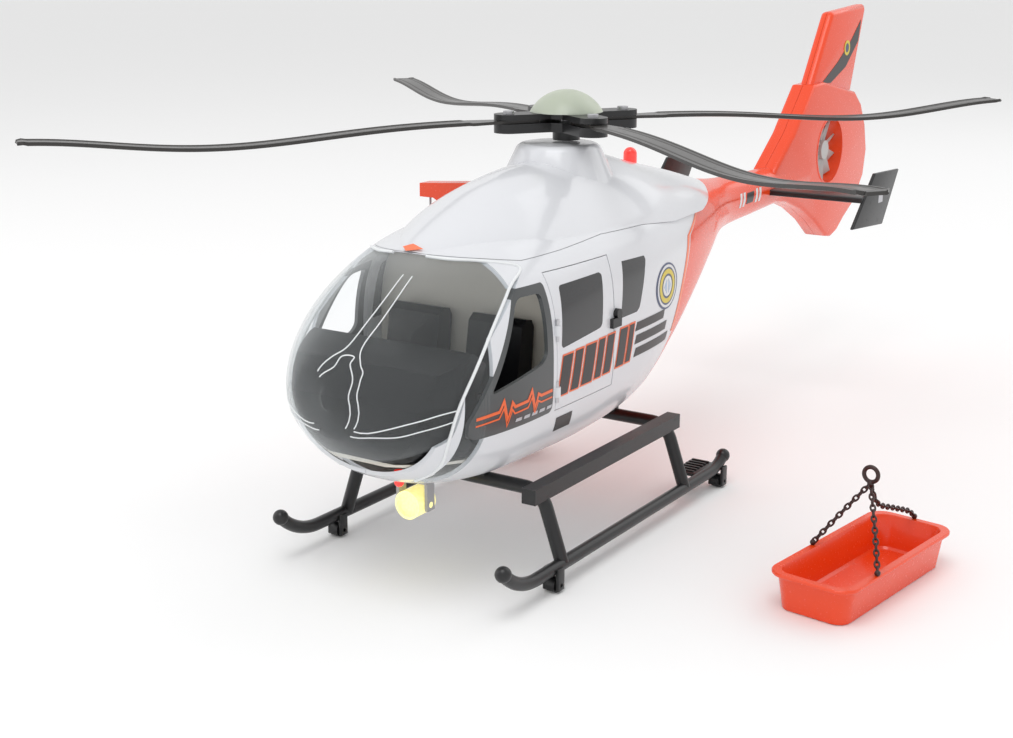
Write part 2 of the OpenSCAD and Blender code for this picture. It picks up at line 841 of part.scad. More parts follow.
// Points of a cross tube's leg, from the level run down to the skid
leg_points = concat(
    [for (w = [90, (90 + leg_lean) / 2, leg_lean])
        [cross_half + bend_r * cos(w), 0, cross_z - bend_r + bend_r * sin(w)]],
    [[skid_half, 0, skid_z]]);

module cross_leg() {
    for (k = [0:2]) {
        rod(leg_points[k], leg_points[k + 1], cross_r);
        translate(leg_points[k]) sphere(cross_r + joint_r, $fn = fine);
    }
}

module arch(y) {
    translate([0, y, 0]) {
        xrod(cross_r, 0, cross_z, -cross_half, cross_half);
        for (s = [false, true]) handed(s) cross_leg();
    }
}

// Cross tube with two saddles that carry the belly
module cross_tube(y) {
    difference() {
        arch(y);
        for (x = [-skid_half, skid_half])
            translate([x, y - 10, skid_z]) rotate([-90, 0, 0]) cylinder(h = 20, r = skid_r, $fn = fine);
    }
    difference() {
        for (x = [-24, 12]) box([x, y - 3, cross_z], [x + 12, y + 3, cross_z + 22]);
        pod();
        loft(FUSELAGE, -16, 329, 12);
    }
}

module front_cross_tube() {
    color("black") craft() cross_tube(front_leg_y);
}

module rear_cross_tube() {
    color("black") craft() cross_tube(rear_leg_y);
}

skid_y = [-138, 52];
toe_r = 40;
toe_turn = 47;
heel_r = 30;
heel_turn = 35;

// Fork under a skid that holds one roller
fork_wall = 1.8;
module roller_fork(y) {
    half = roller_w / 2 + gap;
    difference() {
        union() {
            box([-half - fork_wall, y - 3, roller_r], [half + fork_wall, y + 3, skid_z + 1]);
            xrod(3.2, y, roller_r, -half - fork_wall, half + fork_wall);
        }
        box([-half, y - 10, -1], [half, y + 10, 2 * roller_r + gap]);
        xrod(axle_r + press_gap, y, roller_r, -10, 10);
    }
}

// Centre line of a skid tube, from the toe's tip to the heel's tip
skid_points = concat(
    [for (k = [4:-1:0]) let (w = toe_turn * k / 4)
        [0, skid_y[0] - toe_r * sin(w), skid_z + toe_r * (1 - cos(w))]],
    [for (k = [0:3]) let (w = heel_turn * k / 3)
        [0, skid_y[1] + heel_r * sin(w), skid_z + heel_r * (1 - cos(w))]]);
skid_last = len(skid_points) - 1;

module skid() {
    translate([skid_half, 0, 0]) {
        for (k = [0:skid_last - 1]) rod(skid_points[k], skid_points[k + 1], skid_r);
        for (k = [1:skid_last - 1]) translate(skid_points[k]) sphere(skid_r + joint_r, $fn = fine);
        for (k = [0, skid_last]) translate(skid_points[k]) sphere(ball_r, $fn = fine);
        roller_fork(front_roller_y);
        roller_fork(rear_roller_y);
        // Ribbed foot pad inboard of the heel
        box([-16, 36, skid_z + 1], [0, 61, skid_z + 3]);
        for (y = [38:4:58]) box([-15, y, skid_z + 3], [-4, y + 1.6, skid_z + 3.8]);
    }
}

module port_skid() {
    color("black") craft() skid();
}

module starboard_skid() {
    color("black") craft() handed(true) skid();
}

module step_rails() {
    color("black") craft() for (s = [false, true]) handed(s) difference() {
        box([rail_x - rail_w / 2, front_leg_y - 12, cross_z - rail_w / 2],
            [rail_x + rail_w / 2, rear_leg_y + 9, cross_z + rail_w / 2]);
        arch(front_leg_y);
        arch(rear_leg_y);
    }
}

module roller_axles() {
    reach = roller_w / 2 + gap + fork_wall;
    color("silver") craft() for (x = [-skid_half, skid_half], y = [front_roller_y, rear_roller_y])
        xrod(axle_r, y, roller_r, x - reach, x + reach);
}

module roller(x, y) {
    color("black") craft() difference() {
        xrod(roller_r, y, roller_r, x - roller_w / 2, x + roller_w / 2);
        xrod(axle_r + run_fit, y, roller_r, x - roller_w, x + roller_w);
    }
}

module port_front_roller() roller(skid_half, front_roller_y);
module port_rear_roller() roller(skid_half, rear_roller_y);
module starboard_front_roller() roller(-skid_half, front_roller_y);
module starboard_rear_roller() roller(-skid_half, rear_roller_y);

// Winch: arm on the starboard side of the roof, reel through the starboard wall
hoist_y = -38;
cord_x = 4 - hoist_reach;
arm_under = 175;
ARM_EDGE = [
    [-24, 186], [-hoist_reach, 182.5], [-hoist_reach, arm_under], [-hoist_reach + 9, arm_under],
    [-46, 168], [-24, 168],
];
module hoist_arm() {
    color("orangered") craft() difference() {
        translate([0, hoist_y + 4.5, 0]) rotate([90, 0, 0]) linear_extrude(9) polygon(ARM_EDGE);
        loft(FUSELAGE, -60, -20, 4);
        loft(COWL, -60, -20, 4);
        translate([0, -8, 160]) cylinder(h = cowl_top - 160, r1 = 46, r2 = 24, $fn = fine);
    }
}

knob_x = -pod_half_w * 0.97 - gap - 0.4;
module winch_reel() {
    color("dimgray") craft() {
        xrod(winch_shaft_r, winch_at[0], winch_at[1], knob_x, -36);
        xrod(drum_r, winch_at[0], winch_at[1], -48, -38);
        for (x = [-48, -39.2]) xrod(drum_r + 3, winch_at[0], winch_at[1], x, x + 1.2);
        xrod(10, winch_at[0], winch_at[1], knob_x - 4, knob_x);
        xrod(2.4, winch_at[0] + 6.5, winch_at[1], knob_x - 10, knob_x - 4);
    }
}

// The cord hangs straight from the arm's tip to the hook
CORD_TOP = [cord_x, hoist_y, arm_under];
cord_drop = 53;
cord_step = 3;

module winch_cord() {
    sides = 8;
    zs = [for (d = [0:cord_step:cord_drop - 1]) d, cord_drop];
    pts = [for (d = zs, k = [0:sides - 1])
        CORD_TOP + [cord_r * cos(45 * k), cord_r * sin(45 * k), -d]];
    n = len(zs);
    color("gray") craft() polyhedron(pts, concat(
        [[for (k = [sides - 1:-1:0]) k]],
        [[for (k = [0:sides - 1]) (n - 1) * sides + k]],
        [for (i = [0:n - 2], k = [0:sides - 1])
            [i * sides + k, i * sides + (k + 1) % sides, (i + 1) * sides + (k + 1) % sides,
             (i + 1) * sides + k]]
    ));
}

module winch_hook() {
    bottom = arm_under - cord_drop;
    color("black") craft() translate([cord_x, hoist_y, bottom]) {
        translate([0, 0, -6]) cylinder(h = 6, r = 2.2, $fn = fine);
        translate([0, 0, -10.5]) rotate([90, 0, 90]) rotate(-225) bend(4.5, 315, 1.4);
    }
}

// Stretcher basket on the ground, with its bridle standing up from the rim
basket_at = [194, -32];
basket_turn = -7.5;
module at_basket() {
    craft() translate([basket_at[0], basket_at[1], 0]) rotate(basket_turn) children();
}

// Rounded tray: smaller at the bottom than at the rim
module tray(l, w, z0, z1, foot, corner) {
    hull() {
        translate([0, 0, z0]) linear_extrude(0.4) rounded(l - 2 * foot, w - 2 * foot, corner);
        translate([0, 0, z1 - 0.4]) linear_extrude(0.4) rounded(l, w, corner);
    }
}

// Flat rectangle with round corners
module rounded(l, w, corner) {
    union() {
        square([w - 2 * corner, l], center = true);
        square([w, l - 2 * corner], center = true);
        for (x = [-1, 1], y = [-1, 1])
            translate([x * (w / 2 - corner), y * (l / 2 - corner)]) circle(corner, $fn = 32);
    }
}

module stretcher_basket() {
    color("orangered") at_basket() difference() {
        union() {
            tray(basket_l - 5, basket_w - 5, 0, basket_h - 1, 4, 9);
            translate([0, 0, basket_h - 2]) linear_extrude(2) rounded(basket_l, basket_w, 10);
        }
        tray(basket_l - 5 - 2 * basket_wall, basket_w - 5 - 2 * basket_wall, basket_wall, basket_h + 0.1, 4, 8);
    }
}

// Ring of the bridle, and its three chains from the ring down to the rim
ring_at = [0, 3, 58];
ring_r = 3.8;
ring_wire = 1.2;
chain_r = 1;
foot_r = 1.3;
rim_x = basket_w / 2 - 1.3;
foot_z = basket_h + foot_r;
CHAINS = [
    [[-rim_x, -12, foot_z]],
    [[rim_x, -27, foot_z]],
    [[0, 12, 40.5], [0, 30, 33], [0, 47, 26.5], [0, basket_l / 2 - 1.3, foot_z]],
];
module stretcher_bridle() {
    top = ring_at - [0, 0, ring_r + ring_wire];
    color("black") at_basket() {
        translate(ring_at) rotate([90, 0, 0]) bend(ring_r, 360, ring_wire);
        for (chain = CHAINS) {
            line = concat([top], chain);
            last = len(line) - 1;
            for (k = [1:last]) {
                rod(line[k - 1], line[k], chain_r);
                translate(line[k]) sphere(k == last ? foot_r : chain_r + joint_r, $fn = fine);
            }
        }
        translate(top) sphere(1.8, $fn = fine);
    }
}

port_shell();
starboard_shell();
roof_cowl();
canopy();
dashboard();
seats();
cabin_floor();
cabin_wall();
front_door_panels();
rear_windows();
case_screws();
port_cabin_door();
port_door_window();
port_door_latch();
starboard_cabin_door();
starboard_door_window();
starboard_door_latch();
door_hinge_pins();
battery_case();
battery_cells();
battery_door();
power_switch();
sound_button();
circuit_board();
speaker();
motor();
motor_pinion();
transmission_deck();
mast();
mast_gear();
hub_lower();
hub_upper();
rotor_blades();
blade_screws();
rotor_cap();
port_tail_half();
starboard_tail_half();
fan_stator();
tail_fan();
stabiliser();
beacon_lens();
nose_light();
searchlight_bracket();
searchlight();
front_cross_tube();
rear_cross_tube();
port_skid();
starboard_skid();
step_rails();
roller_axles();
port_front_roller();
port_rear_roller();
starboard_front_roller();
starboard_rear_roller();
hoist_arm();
winch_reel();
winch_hook();
winch_cord();
stretcher_basket();
stretcher_bridle();
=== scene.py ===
"""Toy rescue helicopter: visible surfaces and finishes, built round the solid model."""
import math

import bmesh
import bpy
import numpy as np
from bpy.props import FloatProperty, FloatVectorProperty, IntProperty, PointerProperty
from mathutils import Matrix, Vector


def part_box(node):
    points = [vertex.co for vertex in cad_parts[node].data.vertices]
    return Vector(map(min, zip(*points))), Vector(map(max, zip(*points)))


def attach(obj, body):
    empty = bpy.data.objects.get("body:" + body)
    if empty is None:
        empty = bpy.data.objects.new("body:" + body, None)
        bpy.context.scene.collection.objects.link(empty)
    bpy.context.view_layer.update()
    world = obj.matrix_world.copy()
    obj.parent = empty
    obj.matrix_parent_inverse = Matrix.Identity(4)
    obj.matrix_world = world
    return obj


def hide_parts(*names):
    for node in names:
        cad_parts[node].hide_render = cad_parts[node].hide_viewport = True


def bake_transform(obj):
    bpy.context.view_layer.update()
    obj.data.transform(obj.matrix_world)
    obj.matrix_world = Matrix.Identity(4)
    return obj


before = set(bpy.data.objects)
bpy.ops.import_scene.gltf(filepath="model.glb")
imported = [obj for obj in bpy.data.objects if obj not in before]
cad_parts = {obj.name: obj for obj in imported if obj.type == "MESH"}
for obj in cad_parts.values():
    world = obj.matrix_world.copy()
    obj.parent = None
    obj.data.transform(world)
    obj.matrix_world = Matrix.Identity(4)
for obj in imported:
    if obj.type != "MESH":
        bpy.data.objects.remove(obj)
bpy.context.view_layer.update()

bl_info = {
    "name": "Toy Rescue Helicopter",
    "version": (1, 0, 0),
    "blender": (4, 5, 0),
    "location": "View3D > Sidebar > Helicopter",
    "description": "Builds the visible pieces and finishes of a toy rescue helicopter",
    "category": "Object",
}

MM = 0.001
MAST = (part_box("mast")[0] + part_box("mast")[1]) / 2
MAST_Y = MAST.y

# ------------------------------------------------------------------ sections of the body
# y from the mast, share of the half width, lowest, widest and highest z, roundness above
# and below, in millimetres
POD = np.array([
    [-208, 0.07, 104, 109, 115, 2, 2], [-203, 0.42, 88, 108, 129, 2, 2],
    [-190, 0.68, 72, 106, 143, 2.1, 2.1], [-168, 0.88, 59, 104, 157, 2.3, 2.3],
    [-138, 0.98, 53, 104, 168, 2.6, 2.5], [-100, 1, 52, 106, 174, 3.2, 2.7],
    [-50, 1, 52, 108, 176, 3.6, 2.8], [0, 0.97, 57, 114, 177, 3.4, 2.8],
    [40, 0.88, 72, 124, 177, 3, 2.6], [80, 0.75, 92, 134, 175, 2.6, 2.4],
    [120, 0.57, 111, 141, 171, 2.3, 2.2], [152, 0.4, 122, 146, 167, 2.1, 2.1],
    [185, 0.27, 129, 147, 163, 2, 2], [240, 0.21, 132, 147, 161, 2, 2],
    [330, 0.16, 136, 148, 160, 2, 2]], float)
COWL = np.array([
    [-146, 0.17, 150, 155, 166, 2, 2], [-130, 0.43, 150, 155, 174, 1.9, 2],
    [-105, 0.67, 150, 155, 184, 1.8, 2], [-80, 0.8, 150, 155, 192, 1.7, 2],
    [-40, 0.84, 150, 155, 198, 1.7, 2], [20, 0.83, 150, 155, 198, 1.8, 2],
    [60, 0.77, 150, 155, 189, 1.8, 2], [100, 0.67, 150, 155, 180, 2, 2],
    [150, 0.4, 146, 150, 168, 2, 2]], float)
POD_HALF_W = 60.0
WALL = 2.0

CANOPY_EDGE = [
    (-260, 30), (-168, 30), (-173, 70), (-177, 90), (-172, 109), (-153, 133), (-130, 152),
    (-116, 160), (-130, 164.2), (-142, 165.8), (-147.6, 168.6), (-147.6, 190), (-260, 190)]
COWL_EDGE = [
    (-147, 169), (-142, 166.5), (-130, 165), (-113, 162.5), (-84, 163.5), (-45, 165.5),
    (0, 164), (40, 160), (85, 159.5), (120, 166), (152, 168.5), (152, 230), (-147, 230)]
TAILGATE_EDGE = [
    (150, 169), (120, 166), (87, 159.5), (60, 149), (43, 121), (31, 100), (8, 80), (-14, 50),
    (340, 50), (340, 175), (150, 175)]
PANEL_EDGE = [
    (-110, 152.5), (-109, 151), (-109, 90), (-111, 88), (-165, 87), (-169, 89), (-170, 96),
    (-131.5, 149.5), (-127, 152)]
PANEL_WINDOW = [
    (-113, 148), (-114, 118), (-118, 114.5), (-157, 107.5), (-132, 145), (-128, 148)]
DOOR_WINDOW = [
    (-98, 149), (-61, 149.5), (-59, 148), (-62, 123), (-64, 121.5), (-100, 118.5), (-101.5, 120)]
REAR_WINDOW = [
    (-37, 151), (-12, 150), (-11, 148), (-21, 124), (-24, 122), (-41, 122), (-42, 124)]
SHROUD_EDGE = [
    (262, 150), (268, 160), (298, 182), (329, 213), (350, 214), (411, 203), (425, 193),
    (436, 176), (442, 156), (438, 136), (421, 117), (401, 107), (388, 99), (377, 96),
    (366, 98), (345, 112), (318, 125), (290, 134), (262, 138)]
FIN_EDGE = [(329, 205), (368, 263), (430, 267), (433, 264), (411, 202), (380, 196)]
DOOR_Y = (-105.5, -50)
DOOR_Z = (88, 156)
GAP = 0.4
WINCH = (2, 125)
WINCH_R = 2.6
BUTTON = (14, 129)
BUTTON_R = 5.4
FAN = (365, 163)
DUCT_R = 24
ROTOR_TURN = -34.8
BASKET = (194, -32, -7.5)
SKID_X = 68.8
SKID_Z = 12
ROLLER_Y = (-122, 63)


def place(x, y, z):
    """A point given in millimetres from the mast's axis and the floor."""
    return Vector((x * MM, y * MM + MAST_Y, z * MM))


def rows(table, y):
    """Rows of a section table at the distances y, on a smooth curve through its rows."""
    y = np.clip(np.asarray(y, float), table[0, 0], table[-1, 0])
    n = len(table)
    i = np.clip(np.searchsorted(table[:, 0], y, side="right") - 1, 0, n - 2)
    a, b = table[np.maximum(i - 1, 0)], table[i]
    c, d = table[i + 1], table[np.minimum(i + 2, n - 1)]
    h = c[:, 0] - b[:, 0]
    s = ((y - b[:, 0]) / h)[:, None]
    mb = (c - a) * (h / (c[:, 0] - a[:, 0]))[:, None]
    mc = (d - b) * (h / (d[:, 0] - b[:, 0]))[:, None]
    return (b * (2 * s**3 - 3 * s**2 + 1) + mb * (s**3 - 2 * s**2 + s)
            + c * (3 * s**2 - 2 * s**3) + mc * (s**3 - s**2))


def outside(table, p, inset=0.0):
    """How far points (mm from the mast) are outside a body, as a field that is 0 on its surface."""
    r = rows(table, p[:, 1])
    up = p[:, 2] >= r[:, 3]
    e = np.where(up, r[:, 5], r[:, 6])
    a = r[:, 1] * POD_HALF_W - inset
    b = np.where(up, r[:, 4] - r[:, 3], r[:, 3] - r[:, 2]) - inset
    t = (np.abs(p[:, 0]) / a) ** e + (np.abs(p[:, 2] - r[:, 3]) / b) ** e
    return t ** (1 / e) - 1


def half_width(table, y, z):
    """Half the body's width at each distance y and height z."""
    y, z = np.atleast_1d(np.asarray(y, float)), np.atleast_1d(np.asarray(z, float))
    r = rows(table, y)
    e = np.where(z >= r[:, 3], r[:, 5], r[:, 6])
    b = np.where(z >= r[:, 3], r[:, 4] - r[:, 3], r[:, 3] - r[:, 2])
    t = np.clip(np.abs(z - r[:, 3]) / b, 0, 1)
    return r[:, 1] * POD_HALF_W * (1 - t**e) ** (1 / e)


# ------------------------------------------------------------------ mesh helpers
def to_object(bm, name):
    mesh = bpy.data.meshes.new(name)
    bm.to_mesh(mesh)
    bm.free()
    obj = bpy.data.objects.new(name, mesh)
    bpy.context.scene.collection.objects.link(obj)
    return obj


def loft(name, table, y0, y1, stations, ring=128, inset=0.0):
    """Closed body through a section table, made from a grid that is wrapped round it."""
    bm = bmesh.new()
    bmesh.ops.create_grid(bm, x_segments=ring, y_segments=stations, size=1)
    co = np.array([v.co for v in bm.verts])
    turn = (co[:, 0] + 1) * math.pi
    y = y0 + (y1 - y0) * ((co[:, 1] + 1) / 2) ** 1.35
    r = rows(table, y)
    c, s = np.cos(turn), np.sin(turn)
    e = 2 / np.where(s < 0, r[:, 6], r[:, 5])
    b = np.where(s < 0, r[:, 3] - r[:, 2], r[:, 4] - r[:, 3]) - inset
    x = (r[:, 1] * POD_HALF_W - inset) * np.sign(c) * np.abs(c) ** e
    z = r[:, 3] + b * np.sign(s) * np.abs(s) ** e
    for v, px, py, pz in zip(bm.verts, x, y, z):
        v.co = place(px, py, pz)
    bmesh.ops.remove_doubles(bm, verts=bm.verts, dist=1e-6)
    open_edges = [e for e in bm.edges if e.is_boundary]
    bmesh.ops.holes_fill(bm, edges=open_edges, sides=0)
    ends = [f for f in bm.faces if len(f.verts) > 8]
    bmesh.ops.triangulate(bm, faces=ends)
    bmesh.ops.recalc_face_normals(bm, faces=bm.faces)
    return to_object(bm, name)


def prism(edge, x0, x1, name="cutter"):
    """Side outline pushed from x0 to x1."""
    bm = bmesh.new()
    verts = [bm.verts.new(place(x0, y, z)) for y, z in edge]
    face = bmesh.ops.contextual_create(bm, geom=verts)["faces"]
    far = bmesh.ops.extrude_face_region(bm, geom=face)["geom"]
    bmesh.ops.translate(bm, vec=Vector(((x1 - x0) * MM, 0, 0)),
                        verts=[g for g in far if isinstance(g, bmesh.types.BMVert)])
    bmesh.ops.recalc_face_normals(bm, faces=bm.faces)
    return to_object(bm, name)


def block(lo, hi, name="cutter"):
    bm = bmesh.new()
    bmesh.ops.create_cube(bm, size=1)
    a, b = place(*lo), place(*hi)
    bmesh.ops.scale(bm, vec=b - a, verts=bm.verts)
    bmesh.ops.translate(bm, vec=(a + b) / 2, verts=bm.verts)
    return to_object(bm, name)


def rod_x(r, y, z, x0, x1, segments=64, name="cutter"):
    """Cylinder along X."""
    bm = bmesh.new()
    bmesh.ops.create_cone(bm, cap_ends=True, segments=segments, radius1=r * MM, radius2=r * MM,
                          depth=abs(x1 - x0) * MM)
    bmesh.ops.rotate(bm, cent=(0, 0, 0), matrix=Matrix.Rotation(math.pi / 2, 3, "Y"),
                     verts=bm.verts)
    bmesh.ops.translate(bm, vec=place((x0 + x1) / 2, y, z), verts=bm.verts)
    return to_object(bm, name)


def carve(obj, *steps):
    """Applies boolean steps (operation, cutter) to obj and removes the cutters."""
    for operation, cutter in steps:
        m = obj.modifiers.new("cut", "BOOLEAN")
        m.operation, m.object, m.solver = operation, cutter, "EXACT"
    settle(obj)
    for _, cutter in steps:
        drop(cutter)
    return obj


def settle(obj):
    """Applies all of obj's modifiers."""
    shape = obj.evaluated_get(bpy.context.evaluated_depsgraph_get())
    mesh = bpy.data.meshes.new_from_object(shape)
    obj.modifiers.clear()
    old, obj.data = obj.data, mesh
    mesh.name = old.name
    return obj


def drop(obj):
    bpy.data.objects.remove(obj)


def copy_of(obj, name):
    other = obj.copy()
    other.data = obj.data.copy()
    other.name = name
    other.parent = None
    bpy.context.scene.collection.objects.link(other)
    return other


def mirrored(obj, name):
    """The same piece on the other side of the aircraft."""
    other = copy_of(obj, name)
    bm = bmesh.new()
    bm.from_mesh(other.data)
    bmesh.ops.scale(bm, vec=(-1, 1, 1), verts=bm.verts)
    bmesh.ops.reverse_faces(bm, faces=bm.faces)
    bm.to_mesh(other.data)
    bm.free()
    return other


def join(name, objs):
    """One piece out of several, kept as separate closed shells."""
    bm = bmesh.new()
    for o in objs:
        bm.from_mesh(o.data)
    for o in objs:
        drop(o)
    return to_object(bm, name)


def smooth(obj, angle=32, follow=None, inset=0.0):
    """Smooth shading with sharp creases, and exact normals where obj follows a body's surface."""
    mesh = obj.data
    mesh.polygons.foreach_set("use_smooth", [True] * len(mesh.polygons))
    mesh.set_sharp_from_angle(angle=math.radians(angle))
    if follow is None:
        return obj
    n = len(mesh.loops)
    at = np.zeros(n, np.int64)
    mesh.loops.foreach_get("vertex_index", at)
    co = np.zeros(len(mesh.vertices) * 3)
    mesh.vertices.foreach_get("co", co)
    p = co.reshape(-1, 3) / MM
    p[:, 1] -= MAST_Y / MM
    face = np.zeros(len(mesh.polygons) * 3)
    mesh.polygons.foreach_get("normal", face)
    face = face.reshape(-1, 3)
    count = np.array([q.loop_total for q in mesh.polygons])
    of_loop = np.repeat(np.arange(len(count)), count)
    corner = np.zeros(n * 3, np.float32)
    mesh.corner_normals.foreach_get("vector", corner)
    corner = corner.reshape(-1, 3).astype(float)
    for table, depth in ((follow, 0.0), (follow, WALL)):
        value = outside(table, p, depth)
        grad = np.stack([(outside(table, p + d, depth) - outside(table, p - d, depth)) / 0.1
                         for d in np.eye(3) * 0.05], 1)
        size = np.linalg.norm(grad, axis=1) + 1e-12
        near = np.abs(value) / size < 0.12
        grad /= size[:, None]
        g = grad[at]
        dot = (face[of_loop] * g).sum(1)
        use = near[at] & (np.abs(dot) > 0.9)
        corner[use] = (g * np.sign(dot)[:, None])[use]
    mesh.normals_split_custom_set(corner.tolist())
    return obj


def finish_piece(obj, material, body, slot, *nodes):
    obj.data.materials.clear()
    obj.data.materials.append(material)
    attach(obj, body)
    if nodes:
        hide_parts(*nodes)
    return obj


def tube(name, points, r, sides=16, closed=False, steps=1):
    """Round rod along points given in millimetres."""
    curve = bpy.data.curves.new(name, "CURVE")
    curve.dimensions = "3D"
    curve.bevel_depth = r * MM
    curve.bevel_resolution = sides // 4
    curve.use_fill_caps = not closed
    line = curve.splines.new("POLY")
    line.points.add(len(points) - 1)
    for q, p in zip(line.points, points):
        q.co = (*place(*p), 1)
    line.use_cyclic_u = closed
    obj = bpy.data.objects.new(name, curve)
    bpy.context.scene.collection.objects.link(obj)
    mesh = bpy.data.meshes.new_from_object(
        obj.evaluated_get(bpy.context.evaluated_depsgraph_get()))
    drop(obj)
    bm = bmesh.new()
    bm.from_mesh(mesh)
    bmesh.ops.remove_doubles(bm, verts=bm.verts, dist=1e-6)
    bmesh.ops.recalc_face_normals(bm, faces=bm.faces)
    return to_object(bm, name)


def ball(name, centre, r, segments=24):
    bm = bmesh.new()
    bmesh.ops.create_uvsphere(bm, u_segments=segments, v_segments=segments // 2, radius=r * MM)
    bmesh.ops.translate(bm, vec=place(*centre), verts=bm.verts)
    return to_object(bm, name)


def smooth_line(points, steps=6):
    """Smooth curve through points."""
    p = np.array(points, float)
    out = []
    for i in range(len(p) - 1):
        a, b, c, d = p[max(i - 1, 0)], p[i], p[i + 1], p[min(i + 2, len(p) - 1)]
        for k in range(steps):
            s = k / steps
            out.append(0.5 * (2 * b + (c - a) * s + (2 * a - 5 * b + 4 * c - d) * s * s
                              + (3 * b - a - 3 * c + d) * s**3))
    out.append(p[-1])
    return out


def on_body(table, points, lift=0.0):
    """Points moved straight out from their section's middle onto a body's surface."""
    p = np.array(points, float)
    r = rows(table, p[:, 1])
    mid = np.stack([np.zeros(len(p)), p[:, 1], r[:, 3]], 1)
    value = outside(table, p) + 1
    q = mid + (p - mid) / value[:, None]
    d = q - mid
    d /= np.linalg.norm(d, axis=1)[:, None] + 1e-9
    return [tuple(v) for v in q + d * lift]


def sticker(name, outlines, side=1, table=None, flat_x=None, lift=0.12, thick=0.12, grid=3.0):
    """Thin printed film laid on a body's side. Outlines are (y, z) polygons in mm."""
    bm = bmesh.new()
    for edge in outlines:
        verts = [bm.verts.new((0, y, z)) for y, z in edge]
        bmesh.ops.contextual_create(bm, geom=verts)
    bmesh.ops.remove_doubles(bm, verts=bm.verts, dist=0.001)
    ys = [v.co.y for v in bm.verts]
    zs = [v.co.z for v in bm.verts]
    if table is not None:
        for lo, hi, no in ((min(ys), max(ys), (0, 1, 0)), (min(zs), max(zs), (0, 0, 1))):
            k = lo + grid
            while k < hi:
                bmesh.ops.bisect_plane(bm, geom=bm.verts[:] + bm.edges[:] + bm.faces[:],
                                       plane_co=(0, k * no[1], k * no[2]), plane_no=no)
                k += grid
    co = np.array([v.co for v in bm.verts])
    x = (half_width(table, co[:, 1], co[:, 2]) if table is not None
         else np.full(len(co), float(flat_x)))
    for v, px, (_, py, pz) in zip(bm.verts, x, co):
        v.co = place(side * (px + lift), py, pz)
    bmesh.ops.triangulate(bm, faces=[f for f in bm.faces if len(f.verts) > 4])
    for f in bm.faces:
        f.normal_update()
        if f.normal.x * side < 0:
            f.normal_flip()
    obj = to_object(bm, name)
    m = obj.modifiers.new("film", "SOLIDIFY")
    m.thickness, m.offset = thick * MM, 1
    settle(obj)
    obj.data.polygons.foreach_set("use_smooth", [True] * len(obj.data.polygons))
    obj.data.set_sharp_from_angle(angle=math.radians(40))
    return obj


def round_outline(cy, cz, r, n=40, squash=1.0):
    turns = [2 * math.pi * k / n for k in range(n)]
    return [(cy + r * squash * math.cos(w), cz + r * math.sin(w)) for w in turns]


def soft_corners(edge, r=2.5, n=4):
    """Outline with its corners rounded."""
    out = []
    m = len(edge)
    for i in range(m):
        a, b, c = (np.array(edge[(i + k) % m], float) for k in (-1, 0, 1))
        u, v = a - b, c - b
        lu, lv = np.linalg.norm(u), np.linalg.norm(v)
        t = min(r, lu / 2.2, lv / 2.2)
        p, q = b + u / lu * t, b + v / lv * t
        for k in range(n + 1):
            s = k / n
            out.append(tuple((1 - s) ** 2 * p + 2 * s * (1 - s) * b + s * s * q))
    return out


def stroke(points, w):
    """Outline of a line of width w along points (y, z)."""
    p = np.array(points, float)
    d = np.diff(p, axis=0)
    d /= np.linalg.norm(d, axis=1)[:, None]
    n = np.stack([-d[:, 1], d[:, 0]], 1)
    left, right = [], []
    for i in range(len(p)):
        if i == 0:
            m = n[0]
        elif i == len(p) - 1:
            m = n[-1]
        else:
            m = n[i - 1] + n[i]
            m = m / max(np.dot(m, m) / 2, 0.35)
        left.append(tuple(p[i] + m * w / 2))
        right.append(tuple(p[i] - m * w / 2))
    return [[left[i], left[i + 1], right[i + 1], right[i]] for i in range(len(p) - 1)]


# ------------------------------------------------------------------ finishes
class Value:
    """A node's output that takes part in Python arithmetic and adds the Math nodes it needs."""

    def __init__(self, maker, socket):
        self.maker, self.socket = maker, socket

    def _math(self, operation, a, b):
        return self.maker.node("ShaderNodeMath", {"operation": operation}, {0: a, 1: b})

    def __add__(self, other):
        return self._math("ADD", self, other)

    def __sub__(self, other):
        return self._math("SUBTRACT", self, other)

    def __rsub__(self, other):
        return self._math("SUBTRACT", other, self)

    def __mul__(self, other):
        return self._math("MULTIPLY", self, other)

    def __pow__(self, other):
        return self._math("POWER", self, other)

    __radd__, __rmul__ = __add__, __mul__


class Finish:
    """One material and the nodes it is made of."""

    def __init__(self, name):
        self.material = bpy.data.materials.new(name)
        self.material.use_nodes = True
        self.tree = self.material.node_tree
        self.shader = next(n for n in self.tree.nodes if n.type == "BSDF_PRINCIPLED")

    def node(self, kind, settings=None, inputs=None, out=0):
        n = self.tree.nodes.new(kind)
        for k, v in (settings or {}).items():
            if k == "stops":
                while len(n.color_ramp.elements) < len(v):
                    n.color_ramp.elements.new(1)
                for e, (at, colour) in zip(n.color_ramp.elements, v):
                    e.position, e.color = at, colour
            else:
                setattr(n, k, v)
        for k, v in (inputs or {}).items():
            self.feed(n.inputs[k], v)
        return Value(self, n.outputs[out])

    def feed(self, socket, value):
        if isinstance(value, Value):
            self.tree.links.new(value.socket, socket)
        else:
            socket.default_value = value

    def set(self, **values):
        for k, v in values.items():
            self.feed(self.shader.inputs[k.replace("_", " ")], v)
        return self

    def where(self):
        return self.node("ShaderNodeTexCoord", out=3)

    def noise(self, scale, detail=2.0, rough=0.5, vector=None):
        return self.node("ShaderNodeTexNoise", {}, {
            "Vector": vector or self.where(), "Scale": scale, "Detail": detail,
            "Roughness": rough})

    def blend(self, share, a, b):
        """Colour a where share is 0, b where it is 1."""
        return self.node("ShaderNodeMix", {"data_type": "RGBA"}, {0: share, 6: a, 7: b}, out=2)

    def bump(self, height, strength, distance):
        return self.node("ShaderNodeBump", {}, {
            "Height": height, "Strength": strength, "Distance": distance})


